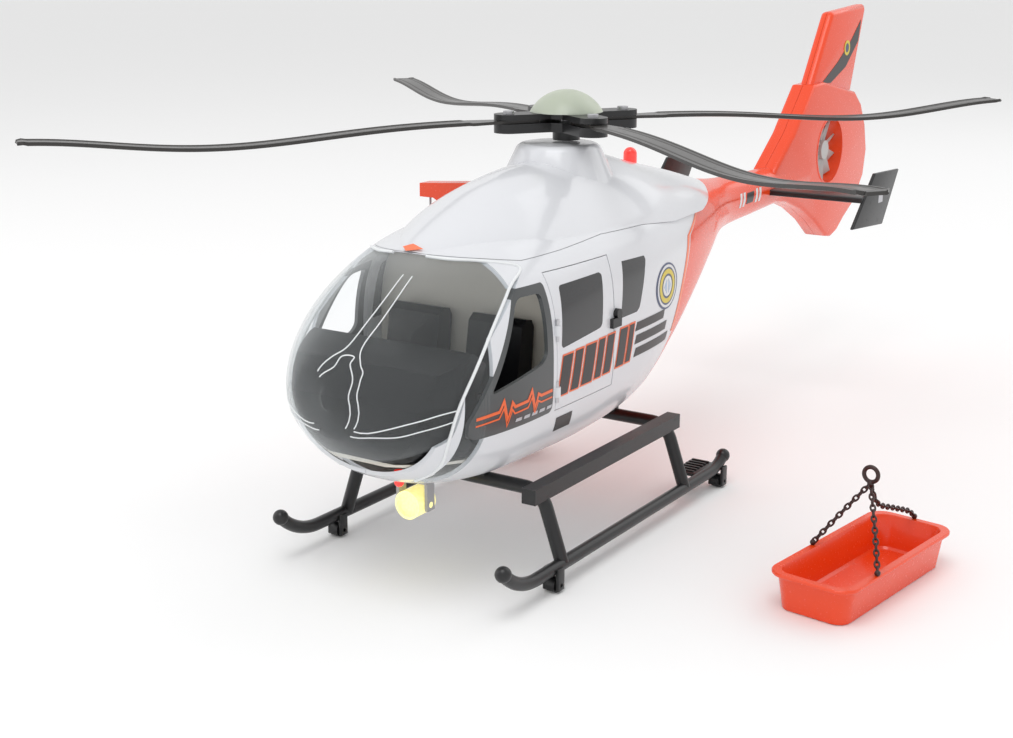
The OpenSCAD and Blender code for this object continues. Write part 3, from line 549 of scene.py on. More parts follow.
def rgb(c, k=1.0):
    return (c[0] * k, c[1] * k, c[2] * k, 1)


def plastic(name, colour, rough=0.3, coat=0.0, grain=900.0, depth=0.08, mottle=0.04, scuff=0.0):
    """Moulded plastic: faint colour drift, moulding grain, and scuffs that dull the gloss."""
    f = Finish(name)
    drift = f.noise(45, 3)
    fine = f.noise(grain, 2)
    wear = f.noise(210, 6, 0.7)
    spots = (wear - 0.58) * 6.0
    spots = f.node("ShaderNodeClamp", {}, {"Value": spots})
    f.set(Base_Color=f.blend(drift * (mottle * 2), rgb(colour), rgb(colour, 0.55)),
          Roughness=fine * 0.08 + (rough - 0.04) + spots * scuff)
    f.set(Normal=f.bump(fine, depth, 0.0002))
    f.set(Coat_Weight=coat, Coat_Roughness=0.06, IOR=1.5)
    return f


def metal(name, colour, rough=0.3):
    """Brushed or drawn metal with fine scratches."""
    f = Finish(name)
    lines = f.noise(1, 3, vector=f.node("ShaderNodeMapping", {}, {
        "Vector": f.where(), "Scale": (300, 300, 4000)}))
    f.set(Base_Color=f.blend(lines * 0.3, rgb(colour), rgb(colour, 0.6)), Metallic=1.0,
          Roughness=lines * 0.2 + rough, Normal=f.bump(lines, 0.1, 0.0001))
    return f


MATERIALS = {}


def material(name):
    return MATERIALS[name].material


def make_materials(colours):
    m = MATERIALS
    m["white"] = plastic("white_gloss", colours.white, 0.2, 0.35, 700, 0.03, 0.015, 0.05)
    m["orange"] = plastic("orange_gloss", colours.orange, 0.26, 0.3, 900, 0.02, 0.012, 0.02)
    m["black"] = plastic("black_satin", colours.black, 0.34, 0.05, 1100, 0.12, 0.1, 0.15)
    m["blade"] = plastic("blade_satin", colours.blade, 0.3, 0.1, 1400, 0.1, 0.1, 0.12)
    m["panel"] = plastic("panel_grey", colours.panel, 0.3, 0.1, 900, 0.05, 0.04, 0.06)
    m["window"] = plastic("window_tint", colours.window, 0.16, 0.2, 900, 0.02, 0.03, 0.04)
    m["interior"] = plastic("interior_black", (0.004, 0.004, 0.005), 0.3, 0.0, 900, 0.005, 0.05,
                            0.02)
    m["interior"].set(Specular_IOR_Level=0.25)
    m["cream"] = plastic("cream_plastic", (0.72, 0.68, 0.6), 0.4, 0.0, 900, 0.1, 0.05, 0.08)
    m["grey"] = plastic("grey_plastic", (0.42, 0.42, 0.43), 0.4, 0.0, 900, 0.1, 0.05, 0.1)
    m["fan"] = plastic("fan_grey", (0.5, 0.5, 0.49), 0.4, 0.0, 900, 0.1, 0.05, 0.1)
    m["chain"] = plastic("chain_brown", (0.035, 0.008, 0.006), 0.35, 0.1, 1500, 0.1, 0.1, 0.1)
    m["board"] = plastic("board_green", (0.02, 0.12, 0.05), 0.4, 0.0, 2500, 0.1, 0.2, 0.1)
    m["cell"] = plastic("cell_wrap", (0.55, 0.32, 0.04), 0.25, 0.2, 900, 0.04, 0.05, 0.05)
    m["print_dark"] = plastic("print_dark", (0.028, 0.022, 0.022), 0.3, 0.0, 1500, 0.04, 0.1, 0.05)
    m["print_orange"] = plastic("print_orange", (0.9, 0.16, 0.05), 0.3, 0.0, 1500, 0.04, 0.06, 0.05)
    m["print_band"] = plastic("print_band", (0.95, 0.2, 0.08), 0.25, 0.1, 1500, 0.04, 0.04, 0.05)
    m["print_white"] = plastic("print_white", (0.75, 0.75, 0.75), 0.3, 0.0, 1500, 0.04, 0.05, 0.05)
    m["print_grey"] = plastic("print_grey", (0.5, 0.5, 0.53), 0.3, 0.0, 1500, 0.04, 0.05, 0.05)
    m["print_blue"] = plastic("print_blue", (0.05, 0.07, 0.16), 0.3, 0.0, 1500, 0.04, 0.1, 0.05)
    m["print_yellow"] = plastic("print_yellow", (0.72, 0.56, 0.04), 0.3, 0.0, 1500, 0.04, 0.1, 0.05)
    m["print_sky"] = plastic("print_sky", (0.45, 0.56, 0.72), 0.3, 0.0, 1500, 0.04, 0.1, 0.05)
    m["steel"] = metal("steel", (0.6, 0.6, 0.62))
    m["cord"] = cord_finish()
    m["clear"] = clear_plastic("clear_canopy", (0.9, 0.93, 0.94), 0.03, 0.03)
    m["line"] = plastic("moulded_line", (0.82, 0.84, 0.85), 0.3, 0.0, 1500, 0.04, 0.03, 0.05)
    cap = plastic("cap_translucent", (0.5, 0.56, 0.42), 0.38, 0.1, 800, 0.06, 0.06, 0.05)
    cap.set(Subsurface_Weight=0.6, Subsurface_Radius=(0.01, 0.01, 0.008), Subsurface_Scale=1.0)
    m["cap"] = cap
    for key, colour, glow, strength in (("red_lens", (0.9, 0.04, 0.03), (1, 0.05, 0.04), 0.7),
                                        ("lamp", (0.95, 0.9, 0.45), (1, 0.88, 0.3), 0.9)):
        f = plastic(key, colour, 0.15, 0.4, 1200, 0.05, 0.05, 0.03)
        cells = f.node("ShaderNodeTexVoronoi", {}, {"Vector": f.where(), "Scale": 700})
        f.set(Emission_Color=f.blend(cells * 0.8, rgb(glow), rgb(glow, 0.4)),
              Emission_Strength=strength)
        m[key] = f


def cord_finish():
    """Twisted cord: strands wind round it."""
    f = Finish("cord_twist")
    w = f.node("ShaderNodeTexWave", {"bands_direction": "DIAGONAL"},
               {"Vector": f.where(), "Scale": 900, "Distortion": 0.4})
    f.set(Base_Color=f.blend(w, rgb((0.2, 0.2, 0.21)), rgb((0.5, 0.5, 0.52))), Roughness=0.7,
          Normal=f.bump(w, 0.4, 0.0002))
    return f


def clear_plastic(name, tint, shine, body):
    """Clear moulding: see-through face on, glossy and greyer at a glancing angle."""
    f = Finish(name)
    fine = f.noise(60, 2)
    f.set(Base_Color=rgb(tint), Roughness=fine * 0.04 + 0.03, IOR=1.5, Coat_Weight=0.3,
          Normal=f.bump(fine, 0.05, 0.001))
    rim = f.node("ShaderNodeLayerWeight", {}, {"Blend": 0.32}, out=1)
    see = f.node("ShaderNodeBsdfTransparent", {}, {"Color": (0.97, 0.98, 0.985, 1)})
    share = f.node("ShaderNodeClamp", {}, {"Value": rim ** 2.6 * 0.8 + shine})
    mixed = f.node("ShaderNodeMixShader", {}, {0: share, 1: see, 2: Value(f, f.shader.outputs[0])})
    out = next(n for n in f.tree.nodes if n.type == "OUTPUT_MATERIAL")
    f.tree.links.new(mixed.socket, out.inputs["Surface"])
    return f


def paint_nodes(key, *nodes):
    """Gives CAD nodes that keep their shape a finish."""
    for n in nodes:
        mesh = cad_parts[n].data
        mesh.materials.clear()
        mesh.materials.append(material(key))


# ------------------------------------------------------------------ sizes and colours
class HeliColours(bpy.types.PropertyGroup):
    white: FloatVectorProperty(name="White", description="Gloss white of the cabin",
                               subtype="COLOR", size=3, default=(0.72, 0.73, 0.76))
    orange: FloatVectorProperty(name="Orange", description="Orange of tail, arm and stretcher",
                                subtype="COLOR", size=3, default=(0.86, 0.06, 0.006))
    black: FloatVectorProperty(name="Black", description="Black of hub and landing gear",
                               subtype="COLOR", size=3, default=(0.01, 0.01, 0.011))
    blade: FloatVectorProperty(name="Blades", description="Dark brown-grey of the blades",
                               subtype="COLOR", size=3, default=(0.028, 0.025, 0.023))
    panel: FloatVectorProperty(name="Front doors", description="Grey of the front doors",
                               subtype="COLOR", size=3, default=(0.075, 0.08, 0.082))
    window: FloatVectorProperty(name="Windows", description="Dark grey of the blind windows",
                                subtype="COLOR", size=3, default=(0.03, 0.03, 0.032))


class HeliSizes(bpy.types.PropertyGroup):
    ring: IntProperty(name="Ring steps", description="Points round each body section",
                      default=144, min=36, max=256)
    film: FloatProperty(name="Film", description="Thickness of printed films, in millimetres",
                        default=0.12, min=0.05, max=0.5)
    line: FloatProperty(name="Canopy line",
                        description="Radius of the canopy's moulded lines, in millimetres",
                        default=0.32, min=0.1, max=1)


def sizes():
    return bpy.context.scene.heli_sizes


# ------------------------------------------------------------------ more mesh helpers
def rod_z(r, x, y, z0, z1, r_top=None, segments=64, name="cutter"):
    """Upright cylinder or cone."""
    bm = bmesh.new()
    bmesh.ops.create_cone(bm, cap_ends=True, segments=segments, radius1=r * MM,
                          radius2=(r if r_top is None else r_top) * MM, depth=(z1 - z0) * MM)
    bmesh.ops.translate(bm, vec=place(x, y, (z0 + z1) / 2), verts=bm.verts)
    return to_object(bm, name)


def soften(obj, width, segments=3, angle=40):
    """Rounds obj's edges."""
    m = obj.modifiers.new("edge", "BEVEL")
    m.width, m.segments, m.limit_method = width * MM, segments, "ANGLE"
    m.angle_limit = math.radians(angle)
    return settle(obj)


def soft_block(lo, hi, r=0.6, name="block"):
    return soften(block(lo, hi, name), r)


def skin(name, table, y0, y1, stations, ring):
    """Hollow skin of a body between y0 and y1."""
    return carve(loft(name, table, y0, y1, stations, ring),
                 ("DIFFERENCE", loft("inner", table, y0 - 1, y1 + 1, stations, ring, WALL)))


def moved(edge, dy, dz=0.0):
    return [(y + dy, z + dz) for y, z in edge]


BIG = 400


def build_shells():
    """Both halves of the cabin's shell."""
    ring = sizes().ring
    half = skin("port_cabin_shell", POD, -182, 155, 80, ring)
    steps = [("DIFFERENCE", prism(e, -BIG, BIG)) for e in (CANOPY_EDGE, COWL_EDGE, TAILGATE_EDGE)]
    steps += [("DIFFERENCE", prism(e, 30, BIG)) for e in (PANEL_EDGE, REAR_WINDOW)]
    steps += [
        ("DIFFERENCE", block((30, DOOR_Y[0] - GAP, DOOR_Z[0] - GAP),
                             (BIG, DOOR_Y[1] + 2 * GAP, DOOR_Z[1] + GAP))),
        ("INTERSECT", block((0.15, -BIG, 0), (BIG, BIG, BIG))),
        ("DIFFERENCE", block((-23, -77, 40), (23, -17, 60))),
    ]
    carve(half, *steps)
    other = mirrored(half, "starboard_cabin_shell")
    carve(other, ("DIFFERENCE", rod_x(BUTTON_R, *BUTTON, -BIG, -30)),
          ("DIFFERENCE", rod_x(WINCH_R, *WINCH, -BIG, -30)))
    for obj, node in ((half, "port_shell"), (other, "starboard_shell")):
        smooth(obj, 30, POD)
        finish_piece(obj, material("white"), "airframe", "white_shell", node)


def build_cowl():
    """Engine cowl with the mast fairing."""
    ring = sizes().ring
    cowl = loft("engine_cowl", COWL, -146, 150, 70, ring)
    fairing = rod_z(44, 0, -8, 160, 206, 22, 96)
    soften(fairing, 3, 4, 30)
    carve(cowl, ("UNION", loft("top", POD, -150, 152, 70, ring)), ("UNION", fairing),
          ("DIFFERENCE", loft("inner", COWL, -140, 148, 60, ring, WALL)),
          ("INTERSECT", prism(moved(COWL_EDGE, 0, 0.25), -BIG, BIG)),
          ("DIFFERENCE", rod_z(3.2, 0, 0, 150, 260)))
    smooth(cowl, 30)
    finish_piece(cowl, material("white"), "airframe", "white_shell", "roof_cowl")


def build_panels():
    """Grey front doors and the blind rear windows, on both sides."""
    ring = sizes().ring
    panel = skin("front_doors", POD, -172, -107, 30, ring)
    carve(panel, ("INTERSECT", prism(soft_corners(moved(PANEL_EDGE, 0.2), 1.5), 30, BIG)),
          ("DIFFERENCE", prism(soft_corners(PANEL_WINDOW, 3), 30, BIG)))
    pair = join("front_doors", [panel, mirrored(panel, "far_door")])
    smooth(pair, 30, POD)
    finish_piece(pair, material("panel"), "airframe", "dark_grey", "front_door_panels")
    window = skin("rear_side_windows", POD, -44, -9, 16, ring)
    carve(window, ("INTERSECT", prism(soft_corners(moved(REAR_WINDOW, 0.1), 2), 30, BIG)))
    pair = join("rear_side_windows", [window, mirrored(window, "far_window")])
    smooth(pair, 30, POD)
    finish_piece(pair, material("window"), "airframe", "window_tint", "rear_windows")


def build_doors():
    """Cabin doors that swing, with their blind windows."""
    ring = sizes().ring
    door = skin("port_door", POD, -108, -48, 30, ring)
    cut = soft_corners(DOOR_WINDOW, 2)
    carve(door, ("INTERSECT", block((30, DOOR_Y[0], DOOR_Z[0]), (BIG, DOOR_Y[1], DOOR_Z[1]))),
          ("DIFFERENCE", prism(cut, 30, BIG)),
          *[("UNION", rod_z(1.9, 59.8, DOOR_Y[0], z, z + 5, segments=24)) for z in (95, 126)])
    window = skin("port_door_glass", POD, -108, -48, 30, ring)
    carve(window, ("INTERSECT", prism(cut, 30, BIG)))
    for name, obj, key, slot in (("cabin_door", door, "white", "white_shell"),
                                 ("door_window", window, "window", "window_tint")):
        smooth(obj, 30, POD)
        far = mirrored(obj, "starboard_" + name + "_skin")
        smooth(far, 30, POD)
        obj.name = "port_" + name + "_skin"
        finish_piece(obj, material(key), "port_door", slot, "port_" + name)
        finish_piece(far, material(key), "starboard_door", slot, "starboard_" + name)


CANOPY_LINES = [
    [(13.4, -160.2, 159.7), (15.2, -175.2, 151.6), (15.0, -187.3, 143.0), (12.9, -198.1, 133.3),
     (14.7, -201.9, 126.9), (16.7, -203.0, 123.3), (15.5, -204.5, 118.4), (15.1, -205.6, 111.1),
     (11.9, -204.8, 96.8)],
    [(8.5, -160.6, 160.0), (9.9, -175.1, 152.6), (9.2, -187.8, 144.0), (6.3, -198.8, 134.2),
     (0.1, -203.0, 128.8), (-7.6, -205.5, 121.0)],
    [(-6.0, -206.3, 118.9), (1.6, -205.0, 124.0), (4.9, -202.5, 129.4), (10.8, -201.4, 129.5),
     (9.8, -203.5, 125.7), (12.3, -205.0, 119.7), (11.1, -206.5, 110.6), (7.6, -205.3, 96.2)],
    [(11.6, -204.5, 95.3), (27.7, -200.0, 97.4), (34.7, -195.8, 99.6), (40.6, -190.1, 101.2),
     (45.6, -183.4, 102.9), (50.4, -174.6, 104.0)],
    [(9.0, -204.0, 92.6), (20.5, -201.5, 92.7), (30.3, -196.9, 93.2), (39.9, -189.4, 95.8),
     (49.0, -176.9, 98.8)]]


def build_canopy():
    """Clear canopy with its moulded lines and rim."""
    ring = sizes().ring
    glass = loft("canopy_glass", POD, -208, -110, 60, ring)
    carve(glass, ("DIFFERENCE", loft("inner", POD, -206.4, -109, 60, ring, 1.4)),
          ("INTERSECT", prism(moved(CANOPY_EDGE, -0.3), -BIG, BIG)))
    smooth(glass, 30, POD)
    finish_piece(glass, material("clear"), "airframe", "clear", "canopy")
    lines = []
    for k, line in enumerate(CANOPY_LINES):
        points = on_body(POD, smooth_line(line, 5), -0.1)
        lines.append(tube("line", points, sizes().line, 8))
        if k >= 3:
            lines.append(tube("line", [(-x, y, z) for x, y, z in points], sizes().line, 8))
    edge = smooth_line([(0, *p) for p in CANOPY_EDGE[1:11]], 6)
    for side in (-1, 1):
        rim = []
        for _, y, z in edge:
            x = half_width(POD, y, z)[0]
            if x > 1:
                rim.append((side * (x - 0.5), y - 0.9, z))
        lines.append(tube("rim", rim, 0.8, 8))
    obj = join("canopy_lines", lines)
    smooth(obj, 60)
    finish_piece(obj, material("line"), "airframe", "clear")


def build_tail():
    """Tail in two halves: boom, fan shroud and fin."""
    ring = sizes().ring
    half = skin("port_tail", POD, -16, 329, 90, ring)
    shroud = soften(prism(SHROUD_EDGE, -9, 9), 2.4, 4, 50)
    fin = soften(prism(FIN_EDGE, -5, 5), 3, 4, 50)
    carve(half, ("INTERSECT", prism(TAILGATE_EDGE, -BIG, BIG)), ("UNION", shroud), ("UNION", fin),
          ("DIFFERENCE", rod_x(DUCT_R, *FAN, -BIG, BIG, 96)),
          ("DIFFERENCE", block((-BIG, 251, 144), (BIG, 270, 148))),
          ("INTERSECT", block((0.12, -BIG, 0), (BIG, BIG * 2, BIG))))
    other = mirrored(half, "starboard_tail")
    for obj, node in ((half, "port_tail_half"), (other, "starboard_tail_half")):
        smooth(obj, 34)
        finish_piece(obj, material("orange"), "airframe", "orange_shell", node)
    ring_piece = carve(rod_x(DUCT_R + 1.2, *FAN, -9.3, 9.3, 96, "fan_duct_rim"),
                       ("DIFFERENCE", rod_x(DUCT_R - 0.1, *FAN, -20, 20, 96)))
    smooth(ring_piece, 30)
    finish_piece(ring_piece, material("orange"), "airframe", "orange_shell")
    plates = []
    for side in (-1, 1):
        plates.append(soften(prism([(271, 162), (317, 160), (290, 125), (234.5, 129)],
                                   side * 78 - 1.25, side * 78 + 1.25), 0.8))
    plates.append(soft_block((-78, 251, 144.1), (78, 270, 147.9), 0.9))
    obj = smooth(join("stabiliser_skin", plates), 40)
    finish_piece(obj, material("black"), "airframe", "black_plastic", "stabiliser")


def build_rotor():
    """Four blades with raised rims and long grooves."""
    bm = bmesh.new()
    bmesh.ops.create_grid(bm, x_segments=110, y_segments=36, size=1)
    co = np.array([v.co for v in bm.verts])
    r = 18 + 270.2 * (co[:, 0] + 1) / 2
    t = np.clip((r - 41) / 249, 0, 1)
    half = np.interp(r, [18, 41, 55, 286, 290], [5, 5, 7.5, 7.5, 3.5])
    v = co[:, 1]
    top = 218 - 7 * np.sin(np.pi * t**1.36) ** 2 + 1
    free = (r > 58) & (r < 284)
    rim = np.where(np.abs(v) > 0.84, 0.35, 0.0) + np.where((r > 284) & (r < 288), 0.35, 0)
    grooves = sum(np.exp(-((v - c) / 0.06) ** 2) for c in (-0.5, 0.5)) * 0.35
    top = top - np.where(free, grooves, 0) + np.where(r > 58, rim, 0) - 0.35
    for vert, x, y, z in zip(bm.verts, r, v * half, top):
        vert.co = (x * MM, y * MM, z * MM)
    blade = to_object(bm, "blade")
    m = blade.modifiers.new("thickness", "SOLIDIFY")
    m.thickness, m.offset = 1.6 * MM, -1
    settle(blade)
    bm = bmesh.new()
    for k in range(4):
        before = len(bm.verts)
        bm.from_mesh(blade.data)
        bm.verts.ensure_lookup_table()
        new = bm.verts[before:]
        bmesh.ops.rotate(bm, cent=(0, 0, 0), verts=new,
                         matrix=Matrix.Rotation(math.radians(ROTOR_TURN + 90 * k), 3, "Z"))
        bmesh.ops.translate(bm, vec=place(0, 0, 0), verts=new)
    drop(blade)
    obj = smooth(to_object(bm, "rotor_blade_set"), 28)
    finish_piece(obj, material("blade"), "main_rotor", "dark_grey", "rotor_blades")


def build_gear():
    """Cross tubes and skids."""
    for name, y in (("front_cross_tube", -114), ("rear_cross_tube", 19)):
        leg = []
        lean, bend, cz, half = 19, 13, 48.2, SKID_X
        cos_lean, sin_lean = math.cos(math.radians(lean)), math.sin(math.radians(lean))
        length = (cz - bend + bend * sin_lean - SKID_Z) / cos_lean
        inner = half - bend * cos_lean - length * sin_lean
        for k in range(9):
            w = math.radians(90 - (90 - lean) * k / 8)
            leg.append((inner + bend * math.cos(w), y, cz - bend + bend * math.sin(w)))
        leg.append((half, y, SKID_Z))
        line = [(-x, py, z) for x, py, z in reversed(leg)] + leg
        parts = [tube("tube", line, 3.6, 24)]
        for x in (-24, 12):
            parts.append(soft_block((x, y - 3, cz), (x + 12, y + 3, 56), 0.5))
        obj = smooth(join(name + "_skin", parts), 40)
        finish_piece(obj, material("black"), "airframe", "black_plastic", name)
    for side, name in ((1, "port_skid"), (-1, "starboard_skid")):
        x = side * SKID_X
        line = []
        for k in range(12, -1, -1):
            w = math.radians(47 * k / 12)
            line.append((x, -138 - 40 * math.sin(w), SKID_Z + 40 * (1 - math.cos(w))))
        for k in range(11):
            w = math.radians(35 * k / 10)
            line.append((x, 52 + 30 * math.sin(w), SKID_Z + 30 * (1 - math.cos(w))))
        parts = [tube("tube", line, 3.4, 24), ball("tip", line[0], 4.1, 32),
                 ball("tip", line[-1], 4.1, 32)]
        for y in ROLLER_Y:
            for s in (-1, 1):
                mid = x + s * 3.8
                parts.append(soft_block((mid - 0.9, y - 3, 1.2), (mid + 0.9, y + 3, 13), 0.5))
        pad = sorted((x - side * 16, x))
        parts.append(soft_block((pad[0], 36, 13), (pad[1], 61, 15), 0.5))
        ribs = sorted((x - side * 15, x - side * 4))
        for k in range(6):
            y = 38 + 4 * k
            parts.append(soft_block((ribs[0], y, 14.8), (ribs[1], y + 1.6, 15.8), 0.3))
        obj = smooth(join(name + "_skin", parts), 40)
        finish_piece(obj, material("black"), "airframe", "black_plastic", name)


def build_winch():
    """Cord of the winch, made at one length; the real cord lengthens as the hook goes down."""
    top, x, y = 175.0, -65.0, -38.0
    points = [(x, y, top - 53 * k / 24) for k in range(25)]
    cord = tube("hoist_cord", points, 0.6, 12)
    smooth(cord, 60)
    cord.data.materials.append(material("cord"))
    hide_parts("winch_cord")
    place(x, y, top)
    [tuple(place(*p)) for p in points]
    place(x, y, top)
    place(x, y, top - 53)
    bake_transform(cord)


def to_basket(points):
    a = math.radians(BASKET[2])
    return [(BASKET[0] + x * math.cos(a) - y * math.sin(a),
             BASKET[1] + x * math.sin(a) + y * math.cos(a), z) for x, y, z in points]


def rounded(length, width, corner, z, n=10):
    """Round-cornered rectangle, anticlockwise."""
    out = []
    for sx, sy, turn in ((1, 1, 0), (-1, 1, 90), (-1, -1, 180), (1, -1, 270)):
        for k in range(n + 1):
            w = math.radians(turn + 90 * k / n)
            out.append((sx * (width / 2 - corner) + corner * math.cos(w),
                        sy * (length / 2 - corner) + corner * math.sin(w), z))
    return out


def build_basket():
    """Stretcher basket with its lip, and the chain bridle."""
    levels = [(99, 33, 5, 0.6), (100.2, 34.2, 6, 0.1), (102, 36, 7, 0.5), (107, 41, 9, 18),
              (111.2, 45.2, 9.6, 18), (112, 46, 10, 18.5), (112, 46, 10, 19.5),
              (111.2, 45.2, 9.6, 20), (104.2, 38.2, 8.2, 20), (103.4, 37.4, 8, 19.4),
              (98, 32, 6.5, 3.2), (95.4, 29.4, 5, 2), (90, 24, 4, 1.8)]
    bm = bmesh.new()
    first = [bm.verts.new(place(*p)) for p in to_basket(rounded(96, 30, 4, 0))]
    bmesh.ops.contextual_create(bm, geom=first)
    edges = [e for e in bm.edges]
    for length, width, corner, z in levels:
        made = bmesh.ops.extrude_edge_only(bm, edges=edges)["geom"]
        new = [g for g in made if isinstance(g, bmesh.types.BMVert)]
        edges = [g for g in made if isinstance(g, bmesh.types.BMEdge)]
        want = [place(*p) for p in to_basket(rounded(length, width, corner, z))]
        for v, co in zip(new, want):
            v.co = co
    bmesh.ops.holes_fill(bm, edges=[e for e in bm.edges if e.is_boundary], sides=0)
    bmesh.ops.recalc_face_normals(bm, faces=bm.faces)
    obj = smooth(to_object(bm, "stretcher_tray"), 34)
    finish_piece(obj, material("orange"), "stretcher", "orange_shell", "stretcher_basket")
    top = (0, 3, 53.4)
    chains = [[top, (-12, -5, 36), (-21.7, -12, 21.3)], [top, (12, -13, 36), (21.7, -27, 21.3)],
              [top, (0, 12, 40.5), (0, 30, 33), (0, 47, 26.5), (0, 54.7, 21.3)]]
    link = chain_link()
    bm = bmesh.new()
    for chain in chains:
        line = np.array(smooth_line(chain, 24))
        step = np.linalg.norm(np.diff(line, axis=0), axis=1)
        dist = np.concatenate([[0], np.cumsum(step)])
        count = int(dist[-1] / 2.9)
        for k in range(count):
            a, b = (np.array([np.interp(dist[-1] * q / count, dist, line[:, i]) for i in range(3)])
                    for q in (k, k + 1))
            before = len(bm.verts)
            bm.from_mesh(link.data)
            bm.verts.ensure_lookup_table()
            d = Vector(b - a).normalized()
            quarter = Matrix.Rotation(math.pi / 2 * (k % 2), 3, "Z")
            turn = d.to_track_quat("Z", "Y").to_matrix() @ quarter
            for v in bm.verts[before:]:
                v.co = place(*to_basket([tuple(turn @ (v.co / MM) + Vector((a + b) / 2))])[0])
    drop(link)
    ring = [(3.8 * math.cos(2 * math.pi * k / 40), 3, 58 + 3.8 * math.sin(2 * math.pi * k / 40))
            for k in range(40)]
    chain = to_object(bm, "chains")
    obj = join("bridle_chains", [chain, tube("ring", to_basket(ring), 1.1, 12, closed=True),
                                 ball("knot", to_basket([top])[0], 1.7),
                                 *[ball("foot", to_basket([c[-1]])[0], 1.5) for c in chains]])
    smooth(obj, 50)
    finish_piece(obj, material("chain"), "stretcher", "chain", "stretcher_bridle")


def chain_link():
    """One long round-wire link that stands along Z."""
    bm = bmesh.new()
    upright = Matrix.Rotation(math.pi / 2, 3, "X")
    bmesh.ops.create_circle(bm, segments=8, radius=0.52 * MM)
    bmesh.ops.rotate(bm, cent=(0, 0, 0), matrix=upright, verts=bm.verts)
    bmesh.ops.translate(bm, vec=(1.15 * MM, 0, 0), verts=bm.verts)
    bmesh.ops.spin(bm, geom=bm.edges[:], cent=(0, 0, 0), axis=(0, 0, 1), angle=2 * math.pi,
                   steps=14, use_merge=True)
    bmesh.ops.remove_doubles(bm, verts=bm.verts, dist=1e-7)
    bmesh.ops.rotate(bm, cent=(0, 0, 0), matrix=upright, verts=bm.verts)
    bmesh.ops.scale(bm, vec=(1, 1, 1.5), verts=bm.verts)
    bmesh.ops.recalc_face_normals(bm, faces=bm.faces)
    return to_object(bm, "link")


def film(name, outlines, key, body="airframe", side=1, table=POD, lift=0.1,
         slot="white_shell", flat_x=None):
    """Printed film on one side of the aircraft."""
    obj = sticker(name, outlines, side, table, flat_x, lift, sizes().film)
    return finish_piece(obj, material(key), body, slot)


def ring_outlines(cy, cz, r0, r1, n=36, squash=1.0):
    out = []
    for k in range(n):
        a, b = 2 * math.pi * k / n, 2 * math.pi * (k + 1) / n
        out.append([(cy + r * squash * math.cos(w), cz + r * math.sin(w))
                    for r, w in ((r0, a), (r1, a), (r1, b), (r0, b))])
    return out


def slanted(y, z, width, height, lean=0.25):
    """Upright bar whose top leans aft."""
    shift = height * lean
    return [(y, z), (y + width, z), (y + width + shift, z + height), (y + shift, z + height)]


